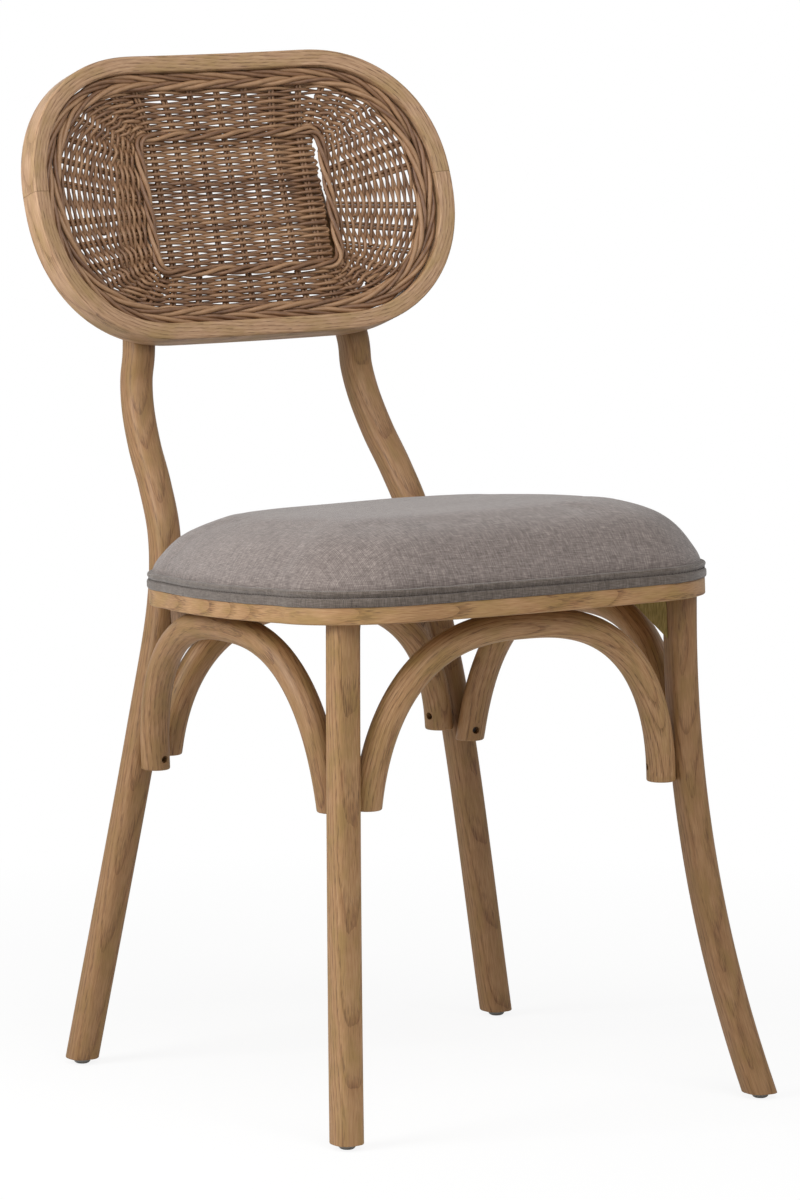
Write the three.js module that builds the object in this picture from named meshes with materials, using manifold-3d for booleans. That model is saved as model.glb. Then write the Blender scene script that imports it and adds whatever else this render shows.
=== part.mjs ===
// Bentwood dining chair with a woven wicker back panel and an upholstered seat.
// Lengths are millimetres. +Z is up, the sitter faces -Y, and the chair is
// mirrored about X = 0. It stands on four glides at Z = 0.
import * as THREE from 'three';
import { mergeVertices } from 'three/addons/utils/BufferGeometryUtils.js';
import Module from 'manifold-3d';

const wasm = await Module();
wasm.setup();

// General sizes
const clearance = 0.3;
const overrun = 40;
const degree = Math.PI / 180;

// Seat frame: a flat bentwood ring that slopes down to the rear
const seatHeight = 425;
const seatTilt = 3.6 * degree;
const seatFrontWidth = 412;
const seatRearWidth = 373;
const seatFrontReach = 187.5;
const seatRearReach = 212;
const seatFrontCorner = 79;
const seatRearCorner = 109;
const seatFrontBow = 12;
const seatSideBow = 11.5;
const seatFrameThickness = 15;
const seatFrameWidth = 62;
const seatFrameEase = 2;

// Upholstered pad: board, foam, cover and welt
const seatBoardThickness = 9;
const seatBoardInset = 7;
const coverThickness = 2;
const coverInset = 4;
const weltHeight = 13;
const weltOverhang = 1.8;
const weltEase = 2.4;
const crownRise = 55;
const crownEdgePower = 5.5;
const crownRoundPower = 0.75;
const crownFrontShare = 0.13;

// Legs
const legWidth = 27.5;
const legSquareness = 2.2;
const frontLegSpread = 333;
const frontLegReach = 147;
const frontFootSpread = 411;
const frontFootReach = 217;
const frontSweepPower = 2.15;
const frontTenonDiameter = 18;
const frontTenonLength = 11;
const rearLegSpread = 268;
const rearLegReach = 208;
const rearFootSpread = 426;
const rearFootReach = 217;
const rearKneeReach = 202.5;
const rearKneeHeight = 290;
const rearKneeBow = 2;
const glideHeight = 4;
const glideDiameter = 15;
const glideFlatDiameter = 7;
const glidePinDiameter = 2.4;
const glidePinLength = 14;

// Back panel: a stadium frame in two bentwood halves, bent round the sitter
const panelWidth = 422;
const panelHeight = 256;
const panelCorner = 126;
const panelCornerPower = 2.18;
const panelCentreRise = 315.5;
const panelCentreSetback = 303;
const panelLean = 19.3 * degree;
const panelBendRadius = 1650;
const panelFrameWidth = 15;
const panelFrameDepth = 25;
const panelFrameEase = 3;
const panelJointRise = 8;
const jointDowelDiameter = 7;
const jointDowelLength = 34;
const postLowSpread = 218;
const postHighSpread = 142;
const postEndInset = 6;
const postLap = 0.8;

// Wicker basket inside the back panel
const basketWidth = 176;
const basketHeight = 116;
const basketCorner = 9;
const basketDepth = 16;
const basketStakes = 7;
const basketBands = 14;
const wallBands = 6;
const weaveThickness = 3;
const weaveRise = 2.8;
const walingDiameter = 9;
const borderWidth = 17;
const borderThickness = 11;
const borderSetback = 1.5;

// Arches below the seat
const archDiameter = 25;
const archPower = 2.55;
const archSpringDrop = 36;
const archDrop = 157;
const sideArchFrontDrop = 160;
const sideArchRearDrop = 166;
const archSeatFlat = 0.7;
const archLegLap = 0.5;
const frontArchInset = 4.5;
const rearArchInset = 8.5;
const frontArchBow = 12;
const rearArchBow = 9;
const sideArchInset = 3.5;
const sideArchSpread = 356;

// Corner blocks
const blockReach = 45;
const blockThickness = 20;
const blockTurn = 53 * degree;

// Screws and bolts
const screwDiameter = 3.6;
const screwHeadDiameter = 6.4;
const screwHeadHeight = 3;
const screwHeadDepth = 7;
const archScrewBite = 14;
const archScrewRise = 13;
const sideArchScrewRise = 10;
const seatScrewBite = 10;
const boardScrewBite = 6;
const panelScrewBite = 15;
const rearBoltDiameter = 6;
const rearBoltHeadDiameter = 11;
const rearBoltHeadHeight = 4;
const rearBoltHeadDepth = 5;
const rearBoltBite = 26;

// How finely round stretches are drawn
const legSides = 12;
const archSides = 10;
const screwSides = 8;
const glideSides = 12;
const legSteps = 12;
const postSteps = 26;
const archSteps = 15;
const cornerSteps = 7;
const edgeSteps = 4;
const crownSteps = 7;
const searchSteps = 30;

// Shares: places along a curve, as shares of its rise and of its setback, and
// other places as shares of the size that they lie on
const postCurveShares = [[0.26, 0.12], [0.46, 0.41], [0.61, 0.69], [0.76, 0.9], [0.88, 0.99]];
const boardScrewPlaceShares = [[0.66, -0.3], [0.6, 0.52]];
// Stakes of a quarter of the wicker wall, as shares of its inner and of its outer edge
const wallInnerShares = [0, 0.159, 0.318, 0.477, 0.5375, 0.598, 0.659, 0.72, 0.832, 0.944];
const wallOuterShares = [0, 0.118, 0.236, 0.354, 0.458, 0.561, 0.6645, 0.768, 0.861, 0.9535];
const seatBowShare = 0.6;
const glideShoulderShare = 0.7;
const crownSpacingPower = 1.2;

const colours = {
  oak: 0xa78560,
  block: 0xb59a4e,
  wicker: 0x8f6c4d,
  linen: 0x8d847c,
  foam: 0xd9cfae,
  plywood: 0xc3a273,
  steel: 0x6e6c68,
  glide: 0x8a8a86,
};

// Solids and cuts

function toSolid(geometry) {
  const bare = geometry.clone();
  bare.deleteAttribute('normal');
  bare.deleteAttribute('uv');
  const merged = mergeVertices(bare);
  return new wasm.Manifold(new wasm.Mesh({
    numProp: 3,
    vertProperties: merged.attributes.position.array,
    triVerts: new Uint32Array(merged.index.array),
  }));
}

function toGeometry(solid) {
  const cut = solid.getMesh();
  const geometry = new THREE.BufferGeometry();
  geometry.setAttribute('position', new THREE.BufferAttribute(cut.vertProperties, cut.numProp));
  geometry.setIndex(new THREE.BufferAttribute(cut.triVerts, 1));
  geometry.computeVertexNormals();
  return geometry;
}

function cutFrom(geometry, ...tools) {
  const solid = tools.reduce((rest, tool) => rest.subtract(toSolid(tool)), toSolid(geometry));
  return toGeometry(solid);
}

function joined(geometry, ...others) {
  return toGeometry(others.reduce((sum, other) => sum.add(toSolid(other)), toSolid(geometry)));
}

// Closed surface over loops of points that have equal counts. A cycle joins
// the last loop to the first; otherwise both ends are closed at a middle point.
function stitched(loops, isCycle) {
  const count = loops[0].length;
  const points = loops.flat();
  const faces = [];
  const bands = isCycle ? loops.length : loops.length - 1;
  for (let band = 0; band < bands; band += 1) {
    const low = band * count;
    const high = ((band + 1) % loops.length) * count;
    for (let i = 0; i < count; i += 1) {
      const next = (i + 1) % count;
      faces.push(low + i, low + next, high + next);
      faces.push(low + i, high + next, high + i);
    }
  }
  if (!isCycle) {
    closeLoop(points, faces, loops[0], 0, true);
    closeLoop(points, faces, loops[loops.length - 1], (loops.length - 1) * count, false);
  }
  const geometry = new THREE.BufferGeometry().setFromPoints(points);
  geometry.setIndex(faces);
  return facingOut(geometry);
}

function closeLoop(points, faces, loop, start, isFirst) {
  const middle = loop.reduce((sum, point) => sum.add(point), new THREE.Vector3());
  points.push(middle.divideScalar(loop.length));
  const hub = points.length - 1;
  for (let i = 0; i < loop.length; i += 1) {
    const here = start + i;
    const next = start + ((i + 1) % loop.length);
    faces.push(...(isFirst ? [hub, next, here] : [hub, here, next]));
  }
}

function facingOut(geometry) {
  const place = geometry.attributes.position;
  const index = geometry.index.array;
  const corner = [new THREE.Vector3(), new THREE.Vector3(), new THREE.Vector3()];
  let volume = 0;
  for (let face = 0; face < index.length; face += 3) {
    corner.forEach((point, k) => point.fromBufferAttribute(place, index[face + k]));
    volume += corner[0].dot(corner[1].clone().cross(corner[2]));
  }
  if (volume < 0) {
    for (let face = 0; face < index.length; face += 3) {
      [index[face], index[face + 1]] = [index[face + 1], index[face]];
    }
  }
  geometry.computeVertexNormals();
  return geometry;
}

function mirrored(geometry) {
  const other = geometry.clone();
  other.scale(-1, 1, 1);
  const index = other.index.array;
  for (let face = 0; face < index.length; face += 3) {
    [index[face], index[face + 1]] = [index[face + 1], index[face]];
  }
  other.computeVertexNormals();
  return other;
}

// Rods

// A path whose section keeps one side turned the same way along the rod
class RodPath extends THREE.CatmullRomCurve3 {
  constructor(points, side) {
    super(points, false, 'centripetal');
    this.side = side;
  }

  computeFrenetFrames(segments) {
    const frames = { tangents: [], normals: [], binormals: [] };
    for (let i = 0; i <= segments; i += 1) {
      const tangent = this.getTangentAt(i / segments);
      const normal = this.side.clone().addScaledVector(tangent, -this.side.dot(tangent)).normalize();
      frames.tangents.push(tangent);
      frames.normals.push(normal);
      frames.binormals.push(tangent.clone().cross(normal));
    }
    return frames;
  }
}

function roundedSection(width, power, sides) {
  const points = [];
  for (let i = 0; i < sides; i += 1) {
    const turn = (i + 0.5) / sides * 2 * Math.PI;
    const across = Math.cos(turn);
    const along = Math.sin(turn);
    points.push(new THREE.Vector2(
      Math.sign(across) * Math.abs(across) ** (2 / power) * width / 2,
      Math.sign(along) * Math.abs(along) ** (2 / power) * width / 2,
    ));
  }
  return new THREE.Shape(points);
}

function rod(path, section, steps) {
  return new THREE.ExtrudeGeometry(section, { steps, extrudePath: path });
}

// Places

// The seat plane: its origin is under the front legs' row, level with them
const seatPlace = new THREE.Matrix4()
  .makeTranslation(0, -frontLegReach, seatHeight)
  .multiply(new THREE.Matrix4().makeRotationX(-seatTilt))
  .multiply(new THREE.Matrix4().makeTranslation(0, frontLegReach, 0));

function seatPoint(x, y, rise) {
  return new THREE.Vector3(x, y, rise).applyMatrix4(seatPlace);
}

function onSeat(geometry) {
  return geometry.applyMatrix4(seatPlace);
}

// The panel plane: X across, Y up the panel, Z towards the sitter, and its
// origin at the middle of the frame's front face
const panelPlace = new THREE.Matrix4()
  .makeTranslation(0, panelCentreSetback, seatHeight + panelCentreRise)
  .multiply(new THREE.Matrix4().makeRotationX(Math.PI / 2 - panelLean));

function panelBend(x) {
  return panelBendRadius - Math.sqrt(panelBendRadius ** 2 - x ** 2);
}

function panelPoint(x, y, depth) {
  return new THREE.Vector3(x, y, panelBend(x) - depth).applyMatrix4(panelPlace);
}

// Outlines

function arcPoints(centre, radius, power, start, end) {
  const points = [];
  for (let i = 0; i <= cornerSteps; i += 1) {
    const turn = start + (end - start) * i / cornerSteps;
    const across = Math.cos(turn);
    const along = Math.sin(turn);
    points.push(new THREE.Vector2(
      centre.x + Math.sign(across) * Math.abs(across) ** (2 / power) * radius,
      centre.y + Math.sign(along) * Math.abs(along) ** (2 / power) * radius,
    ));
  }
  return points;
}

function between(start, end, steps, bow) {
  const side = new THREE.Vector2(end.y - start.y, start.x - end.x).normalize();
  const points = [];
  for (let i = 1; i < steps; i += 1) {
    const share = i / steps;
    points.push(start.clone().lerp(end, share).addScaledVector(side, bow * 4 * share * (1 - share)));
  }
  return points;
}

// Moves each point of an outline in along its normal
function insetLoop(loop, inset) {
  return loop.map((point, i) => {
    const before = loop[(i + loop.length - 1) % loop.length];
    const after = loop[(i + 1) % loop.length];
    const inward = new THREE.Vector2(before.y - after.y, after.x - before.x).normalize();
    return point.clone().addScaledVector(inward, inset);
  });
}

function withMirror(half) {
  const other = half.map((point) => new THREE.Vector2(-point.x, point.y)).reverse();
  return [...half, ...other];
}

function seatOutline() {
  const taper = Math.atan2((seatFrontWidth - seatRearWidth) / 2, seatFrontReach + seatRearReach);
  const normal = new THREE.Vector2(Math.cos(taper), Math.sin(taper));
  const sideOffset = normal.dot(new THREE.Vector2(seatFrontWidth / 2, -seatFrontReach));
  const corner = (y, radius) => new THREE.Vector2(
    (sideOffset - radius - normal.y * y) / normal.x,
    y,
  );
  const front = corner(seatFrontCorner - seatFrontReach, seatFrontCorner);
  const rear = corner(seatRearReach - seatRearCorner, seatRearCorner);
  const frontArc = arcPoints(front, seatFrontCorner, 2, -Math.PI / 2, taper);
  const rearArc = arcPoints(rear, seatRearCorner, 2, taper, Math.PI / 2);
  const frontMiddle = new THREE.Vector2(0, -seatFrontReach);
  const rearMiddle = new THREE.Vector2(0, seatRearReach);
  const half = [
    ...between(frontMiddle, frontArc[0], edgeSteps, 0),
    ...frontArc,
    ...between(frontArc[cornerSteps], rearArc[0], edgeSteps, seatSideBow),
    ...rearArc,
    ...between(rearArc[cornerSteps], rearMiddle, edgeSteps, 0),
  ];
  const bowSpan = front.x + seatFrontCorner * seatBowShare;
  half.forEach((point) => {
    if (point.y < 0) {
      point.y -= seatFrontBow * Math.max(0, 1 - (point.x / bowSpan) ** 2);
    }
  });
  return withMirror(half);
}

function roundedRectangle(width, height, radius, power) {
  const across = width / 2 - radius;
  const along = Math.max(0, height / 2 - radius);
  const lower = arcPoints(new THREE.Vector2(across, -along), radius, power, -Math.PI / 2, 0);
  const upper = arcPoints(new THREE.Vector2(across, along), radius, power, 0, Math.PI / 2);
  const lowMiddle = new THREE.Vector2(0, -along - radius);
  const highMiddle = new THREE.Vector2(0, along + radius);
  return withMirror([
    ...between(lowMiddle, lower[0], edgeSteps, 0),
    ...lower,
    ...between(lower[cornerSteps], upper[0], 2, 0),
    ...upper,
    ...between(upper[cornerSteps], highMiddle, edgeSteps, 0),
  ]);
}

const seatLoop = seatOutline();
const panelLoop = roundedRectangle(panelWidth, panelHeight, Math.min(panelCorner, panelHeight / 2),
  panelCornerPower);
const basketLoop = roundedRectangle(basketWidth, basketHeight, basketCorner, 2);

function seatRing(inset, rise) {
  return insetLoop(seatLoop, inset).map((point) => seatPoint(point.x, point.y, rise));
}

function panelRing(loop, inset, depth) {
  return insetLoop(loop, inset).map((point) => panelPoint(point.x, point.y, depth));
}

// A ring's section: a rectangle with eased corners, as inset and height pairs
function easedSection(outer, inner, low, high, ease) {
  return [
    [outer + ease, low], [inner - ease, low], [inner, low + ease], [inner, high - ease],
    [inner - ease, high], [outer + ease, high], [outer, high - ease], [outer, low + ease],
  ];
}

// Fasteners: a turned screw along an axis, and the stepped hole that takes it

function turned(profile, sides, start, direction) {
  const points = profile.map(([radius, height]) => new THREE.Vector2(radius, height));
  const turn = new THREE.Quaternion().setFromUnitVectors(new THREE.Vector3(0, 1, 0), direction);
  const geometry = new THREE.LatheGeometry(points, sides);
  geometry.applyQuaternion(turn);
  geometry.translate(start.x, start.y, start.z);
  return facingOut(mergeVertices(stripped(geometry)));
}

function stripped(geometry) {
  geometry.deleteAttribute('normal');
  geometry.deleteAttribute('uv');
  return geometry;
}

function screw(start, direction, length, thickness, headWidth, headHeight) {
  return turned([
    [0, 0],
    [headWidth / 2, 0],
    [headWidth / 2, headHeight],
    [thickness / 2, headHeight],
    [thickness / 2, length],
    [0, length],
  ], screwSides, start, direction);
}

function screwHole(start, direction, length, thickness, headWidth, headHeight) {
  return turned([
    [0, -overrun],
    [headWidth / 2 + clearance, -overrun],
    [headWidth / 2 + clearance, headHeight + clearance],
    [thickness / 2 + clearance, headHeight + clearance],
    [thickness / 2 + clearance, length + clearance],
    [0, length + clearance],
  ], screwSides, start, direction);
}

// Pieces are collected here under their names
const chair = new THREE.Group();

function addPiece(name, geometry, colour, roughness, metalness = 0) {
  const material = new THREE.MeshStandardMaterial({ color: colour, roughness, metalness });
  const mesh = new THREE.Mesh(geometry, material);
  mesh.name = name;
  chair.add(mesh);
}

function addWood(name, geometry) {
  addPiece(name, geometry, colours.oak, 0.62);
}

const sides = [['left', -1], ['right', 1]];
const legRadius = legWidth / 2;
const archRadius = archDiameter / 2;
const forward = new THREE.Vector3(0, -1, 0);

// Front legs: straight below the seat, then swept out and forward to the floor

const frontLegTop = seatPoint(frontLegSpread / 2, -frontLegReach, 0);

function frontLegCentre(height) {
  const sweep = (1 - height / frontLegTop.z) ** frontSweepPower;
  return new THREE.Vector3(
    frontLegSpread / 2 + (frontFootSpread - frontLegSpread) / 2 * sweep,
    -frontLegReach - (frontFootReach - frontLegReach) * sweep,
    height,
  );
}

function frontLegRod(growth) {
  const points = [];
  for (let i = 0; i <= legSteps; i += 1) {
    points.push(frontLegCentre(frontLegTop.z * i / legSteps));
  }
  points.push(frontLegTop.clone().add(new THREE.Vector3(0, 0, legWidth)));
  const path = new RodPath(points, forward);
  return rod(path, roundedSection(legWidth + 2 * growth, legSquareness, legSides), legSteps + 2);
}

// Rear legs: each is one bent rod that runs on up behind the back panel

const postAxisDepth = panelFrameDepth + legRadius - postLap;

function postOnPanel(height, spread) {
  return panelPoint(spread / 2, height, postAxisDepth);
}

const postLow = postOnPanel(-panelHeight / 2, postLowSpread);
const postHigh = postOnPanel(panelHeight / 2 - postEndInset, postHighSpread);
const rearLegTop = seatPoint(rearLegSpread / 2, rearLegReach, 0);

function rearLegPath() {
  const foot = new THREE.Vector3(rearFootSpread / 2, rearFootReach, 0);
  const knee = foot.clone().lerp(rearLegTop, rearKneeHeight / rearLegTop.z);
  knee.x += rearKneeBow;
  knee.y = rearKneeReach;
  const curve = postCurveShares.map(([rise, setback]) => new THREE.Vector3(
    THREE.MathUtils.lerp(rearLegTop.x, postLow.x, rise),
    THREE.MathUtils.lerp(rearLegTop.y, postLow.y, setback),
    THREE.MathUtils.lerp(rearLegTop.z, postLow.z, rise),
  ));
  const middle = postLow.clone().lerp(postHigh, 0.5);
  return new RodPath([foot, knee, rearLegTop, ...curve, postLow, middle, postHigh], forward);
}

function rearLegRod(growth) {
  return rod(rearLegPath(), roundedSection(legWidth + 2 * growth, legSquareness, legSides), postSteps);
}

// Finds the centre of a rod's path at a height
function centreAt(path, height) {
  let low = 0;
  let high = 1;
  for (let i = 0; i < searchSteps; i += 1) {
    const middle = (low + high) / 2;
    if (path.getPointAt(middle).z < height) {
      low = middle;
    } else {
      high = middle;
    }
  }
  return path.getPointAt(low);
}

// Blocks of space to cut with

function slab(width, depth, height, middle) {
  const box = new THREE.BoxGeometry(width, depth, height);
  box.translate(middle.x, middle.y, middle.z);
  return box;
}

const chairSpan = seatFrontWidth + rearFootSpread;
const underFloor = slab(chairSpan, chairSpan, seatHeight, new THREE.Vector3(
  0, 0, glideHeight + clearance - seatHeight / 2,
));
const aboveSeat = () => onSeat(slab(chairSpan, chairSpan, seatHeight, new THREE.Vector3(
  0, 0, seatHeight / 2 - clearance,
)));

const seatTopRise = seatFrameThickness;
const weltTopRise = seatTopRise + clearance + weltHeight;
const seatNotch = stitched([
  seatRing(-weltOverhang - clearance, -clearance),
  seatRing(-weltOverhang - clearance, weltTopRise + clearance),
  seatRing(coverInset - clearance, weltTopRise + clearance),
  seatRing(coverInset - clearance, weltTopRise + crownRise),
], false);

const panelNotch = stitched(
  easedSection(-clearance, panelFrameWidth + clearance, -clearance, panelFrameDepth + clearance,
    panelFrameEase).map(([inset, depth]) => panelRing(panelLoop, inset, depth)),
  true,
);

// Arches: half rings of bent rod from leg to leg, flat where they meet the seat

const rearPath = rearLegPath();
const archEndFront = frontLegCentre(seatHeight - archDrop);
const archEndRear = centreAt(rearPath, seatHeight - archDrop);
const archStep = legRadius + archRadius - archLegLap;

function seatUnderside(x, y) {
  const across = seatPoint(x, y, 0);
  return across.z;
}

// A superellipse that would spring archSpringDrop below the limbs' ends
function archRod({ start, end, apex }) {
  const top = apex.clone().setZ(seatUnderside(apex.x, apex.y) - archRadius + archSeatFlat);
  const middle = start.clone().lerp(end, 0.5);
  const height = top.z - middle.z + archSpringDrop;
  const first = Math.asin((archSpringDrop / height) ** (archPower / 2));
  const reach = Math.cos(first) ** (2 / archPower);
  const points = [];
  for (let i = 0; i <= archSteps; i += 1) {
    const turn = THREE.MathUtils.lerp(first, Math.PI - first, i / archSteps);
    const rise = Math.sin(turn) ** (2 / archPower);
    const run = Math.sign(Math.cos(turn)) * Math.abs(Math.cos(turn)) ** (2 / archPower);
    const base = start.clone().lerp(end, (1 - run / reach) / 2);
    const bow = (height * rise - archSpringDrop) / (height - archSpringDrop);
    points.push(new THREE.Vector3(
      base.x + (top.x - middle.x) * bow,
      base.y + (top.y - middle.y) * bow,
      base.z - archSpringDrop + height * rise,
    ));
  }
  const side = new THREE.Vector3(0, 0, 1).cross(end.clone().sub(start)).normalize();
  return rod(new RodPath(points, side), roundedSection(archDiameter, 2, archSides), archSteps + 4);
}

// A limb stands beside its leg: along the arch's run, and set in from it
function limbBeside(leg, run, inset) {
  const along = Math.sqrt(archStep ** 2 - inset.lengthSq());
  return leg.clone().addScaledVector(run, along).add(inset);
}

function crossArch(leg, inset, bow) {
  const end = limbBeside(leg, new THREE.Vector3(-1, 0, 0), new THREE.Vector3(0, inset, 0));
  const start = end.clone().setX(-end.x);
  const apex = new THREE.Vector3(0, end.y - bow, 0);
  return { start, end, apex, screwRise: archScrewRise };
}

function sideArch() {
  const inset = new THREE.Vector3(-sideArchInset, 0, 0);
  const run = archEndRear.clone().sub(archEndFront).setZ(0).normalize();
  const start = limbBeside(archEndFront, run, inset).setZ(seatHeight - sideArchFrontDrop);
  const end = limbBeside(archEndRear, run.negate(), inset).setZ(seatHeight - sideArchRearDrop);
  const apex = new THREE.Vector3(sideArchSpread / 2, (start.y + end.y) / 2, 0);
  return { start, end, apex, screwRise: sideArchScrewRise };
}

const frontArchPlan = crossArch(archEndFront, frontArchInset, frontArchBow);
const rearArchPlan = crossArch(archEndRear, -rearArchInset, rearArchBow);
const sideArchPlan = sideArch();

// Screw places. Each list holds the head's start, direction and length.

const seatUp = new THREE.Vector3(0, 0, 1).transformDirection(seatPlace);

function archEndScrew(plan, limb, legCentre) {
  const foot = plan[limb].clone();
  foot.z += plan.screwRise;
  const target = legCentre.clone().setZ(foot.z);
  const direction = target.sub(foot).normalize();
  const start = foot.clone().addScaledVector(direction, screwHeadDepth - archRadius);
  return { start, direction, length: archDiameter - screwHeadDepth + archScrewBite };
}

function archTopScrew(plan) {
  const under = seatUnderside(plan.apex.x, plan.apex.y);
  const top = new THREE.Vector3(plan.apex.x, plan.apex.y, under);
  const start = top.addScaledVector(seatUp, screwHeadDepth - archDiameter);
  return { start, direction: seatUp, length: archDiameter - screwHeadDepth + seatScrewBite };
}

function mirrorScrew(place) {
  const flip = (vector) => vector.clone().setX(-vector.x);
  return { ...place, start: flip(place.start), direction: flip(place.direction) };
}

const frontArchScrew = archEndScrew(frontArchPlan, 'end', archEndFront);
const rearArchScrew = archEndScrew(rearArchPlan, 'end', archEndRear);
const sideFrontScrew = archEndScrew(sideArchPlan, 'start', archEndFront);
const sideRearScrew = archEndScrew(sideArchPlan, 'end', archEndRear);

function panelScrewAt(height, spread) {
  const start = panelPoint(spread / 2, height, postAxisDepth + legRadius - screwHeadDepth);
  const direction = new THREE.Vector3(0, 0, 1).transformDirection(panelPlace);
  return { start, direction, length: legWidth - screwHeadDepth + panelScrewBite };
}

const railMiddle = panelHeight / 2 - panelFrameWidth / 2;
const postShareAt = (height) => (height + panelHeight / 2) / (panelHeight - postEndInset);
const postSpreadAt = (height) => THREE.MathUtils.lerp(postLowSpread, postHighSpread,
  postShareAt(height));
const panelLowScrew = panelScrewAt(-railMiddle, postSpreadAt(-railMiddle));
const panelHighScrew = panelScrewAt(railMiddle, postSpreadAt(railMiddle));

const boltDirection = new THREE.Vector3(0, -1, 0).transformDirection(seatPlace);
const boltPlace = {
  start: seatPoint(rearLegSpread / 2, rearLegReach + legRadius - rearBoltHeadDepth,
    seatFrameThickness / 2),
  direction: boltDirection,
  length: legWidth - rearBoltHeadDepth + rearBoltBite,
};

const screwSize = [screwDiameter, screwHeadDiameter, screwHeadHeight];
const boltSize = [rearBoltDiameter, rearBoltHeadDiameter, rearBoltHeadHeight];
const screwAt = (place, size = screwSize) => screw(place.start, place.direction, place.length, ...size);
const holeAt = (place, size = screwSize) => screwHole(place.start, place.direction, place.length,
  ...size);

const boardScrews = boardScrewPlaceShares.map(([across, along]) => {
  const reach = along < 0 ? seatFrontReach : seatRearReach;
  const start = seatPoint(across * seatFrontWidth / 2, along * reach, screwHeadHeight);
  const length = seatFrameThickness - screwHeadHeight + boardScrewBite;
  return { start, direction: seatUp, length };
});

// Glides

function glideProfile(growth) {
  const pin = glidePinDiameter / 2 + growth;
  return [
    [0, 0],
    [glideFlatDiameter / 2, 0],
    [glideDiameter / 2, glideHeight * glideShoulderShare],
    [glideDiameter / 2, glideHeight],
    [pin, glideHeight],
    [pin, glideHeight + glidePinLength + growth],
    [0, glideHeight + glidePinLength + growth],
  ];
}

function glideAt(centre, growth = 0) {
  return turned(glideProfile(growth), glideSides, centre.clone().setZ(0), new THREE.Vector3(0, 0, 1));
}

// Build the pieces

const panelSolid = stitched(
  easedSection(0, panelFrameWidth, 0, panelFrameDepth, panelFrameEase)
    .map(([inset, depth]) => panelRing(panelLoop, inset, depth)),
  true,
);

function beyondJoint(isUpper) {
  const reach = panelHeight;
  const rise = (isUpper ? 1 : -1) * (reach - clearance) / 2;
  const box = slab(panelWidth + overrun, reach, panelWidth, new THREE.Vector3(
    0, panelJointRise + rise, 0,
  ));
  return box.applyMatrix4(panelPlace);
}

function jointDowel(growth) {
  const across = (panelWidth - panelFrameWidth) / 2;
  const low = panelPoint(across, panelJointRise - jointDowelLength / 2 - growth, panelFrameDepth / 2);
  const upward = new THREE.Vector3(0, 1, 0).transformDirection(panelPlace);
  const length = jointDowelLength + 2 * growth;
  const radius = jointDowelDiameter / 2 + growth;
  return turned([[0, 0], [radius, 0], [radius, length], [0, length]], screwSides, low, upward);
}

const panelHoles = [panelLowScrew, panelHighScrew].flatMap((place) => [
  holeAt(place),
  holeAt(mirrorScrew(place)),
]);
const dowelHoles = [jointDowel(clearance), mirrored(jointDowel(clearance))];
addWood('back_frame_upper', cutFrom(panelSolid, beyondJoint(false), ...dowelHoles, ...panelHoles));
addWood('back_frame_lower', cutFrom(panelSolid, beyondJoint(true), ...dowelHoles, ...panelHoles));
addWood('back_frame_dowel_right', jointDowel(0));
addWood('back_frame_dowel_left', mirrored(jointDowel(0)));

// Wicker: a flat base, a thick waling round it, sloping walls and a border. The base and the
// walls are woven: where a band of weavers passes a stake, it bulges to the front and the
// back by turns.

function addWicker(name, geometry) {
  addPiece(name, geometry, colours.wicker, 0.75);
}

// Front and back grids of a woven sheet, with a row at the middle of each band and at both
// edges, and pointAt giving the point for a place in stakes, a share across and a depth
function wovenGrids(bands, places, pointAt) {
  const middles = Array.from({ length: bands }, (_, band) => (band + 1 / 2) / bands);
  const rows = [0, ...middles, 1];
  return [-1, 1].map((side) => rows.map((share, row) => places.map((place) => {
    const isEdge = share === 0 || share === 1;
    const swing = isEdge ? 0 : Math.max(0, -side * Math.cos(Math.PI * (place + row)));
    return pointAt(place, share, side * (weaveThickness / 2 + weaveRise * swing));
  })));
}

// A closed sheet between its front and its back grid
function sheet([front, back]) {
  const rows = front.length;
  const columns = front[0].length;
  const faces = [];
  const quad = (a, b, c, d) => faces.push(a, b, c, a, c, d);
  const at = (side, row, column) => (side * rows + row) * columns + column;
  for (let row = 0; row < rows - 1; row += 1) {
    for (let column = 0; column < columns - 1; column += 1) {
      quad(at(0, row, column), at(0, row, column + 1), at(0, row + 1, column + 1),
        at(0, row + 1, column));
      quad(at(1, row, column), at(1, row + 1, column), at(1, row + 1, column + 1),
        at(1, row, column + 1));
    }
    const end = columns - 1;
    quad(at(0, row, 0), at(0, row + 1, 0), at(1, row + 1, 0), at(1, row, 0));
    quad(at(0, row, end), at(1, row, end), at(1, row + 1, end), at(0, row + 1, end));
  }
  for (let column = 0; column < columns - 1; column += 1) {
    const end = rows - 1;
    quad(at(0, 0, column), at(1, 0, column), at(1, 0, column + 1), at(0, 0, column + 1));
    quad(at(0, end, column), at(0, end, column + 1), at(1, end, column + 1), at(1, end, column));
  }
  const geometry = new THREE.BufferGeometry().setFromPoints([...front.flat(), ...back.flat()]);
  geometry.setIndex(faces);
  return facingOut(geometry);
}

// Pulls a point of the base's square grid in to the base's rounded corners
function inBasket(x, y) {
  const corner = new THREE.Vector2(basketWidth / 2 - basketCorner, basketHeight / 2 - basketCorner);
  const past = new THREE.Vector2(Math.abs(x), Math.abs(y)).sub(corner);
  if (past.x <= 0 || past.y <= 0) {
    return new THREE.Vector2(x, y);
  }
  return past.clampLength(0, basketCorner).add(corner)
    .multiply(new THREE.Vector2(Math.sign(x), Math.sign(y)));
}

const basketPlaces = Array.from({ length: 2 * basketStakes + 1 }, (_, i) => (i - basketStakes) / 2);
addWicker('wicker_base', sheet(wovenGrids(basketBands, basketPlaces, (place, share, depth) => {
  const point = inBasket(place * basketWidth / basketStakes, (share - 1 / 2) * basketHeight);
  return panelPoint(point.x, point.y, basketDepth + depth);
})));

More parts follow.
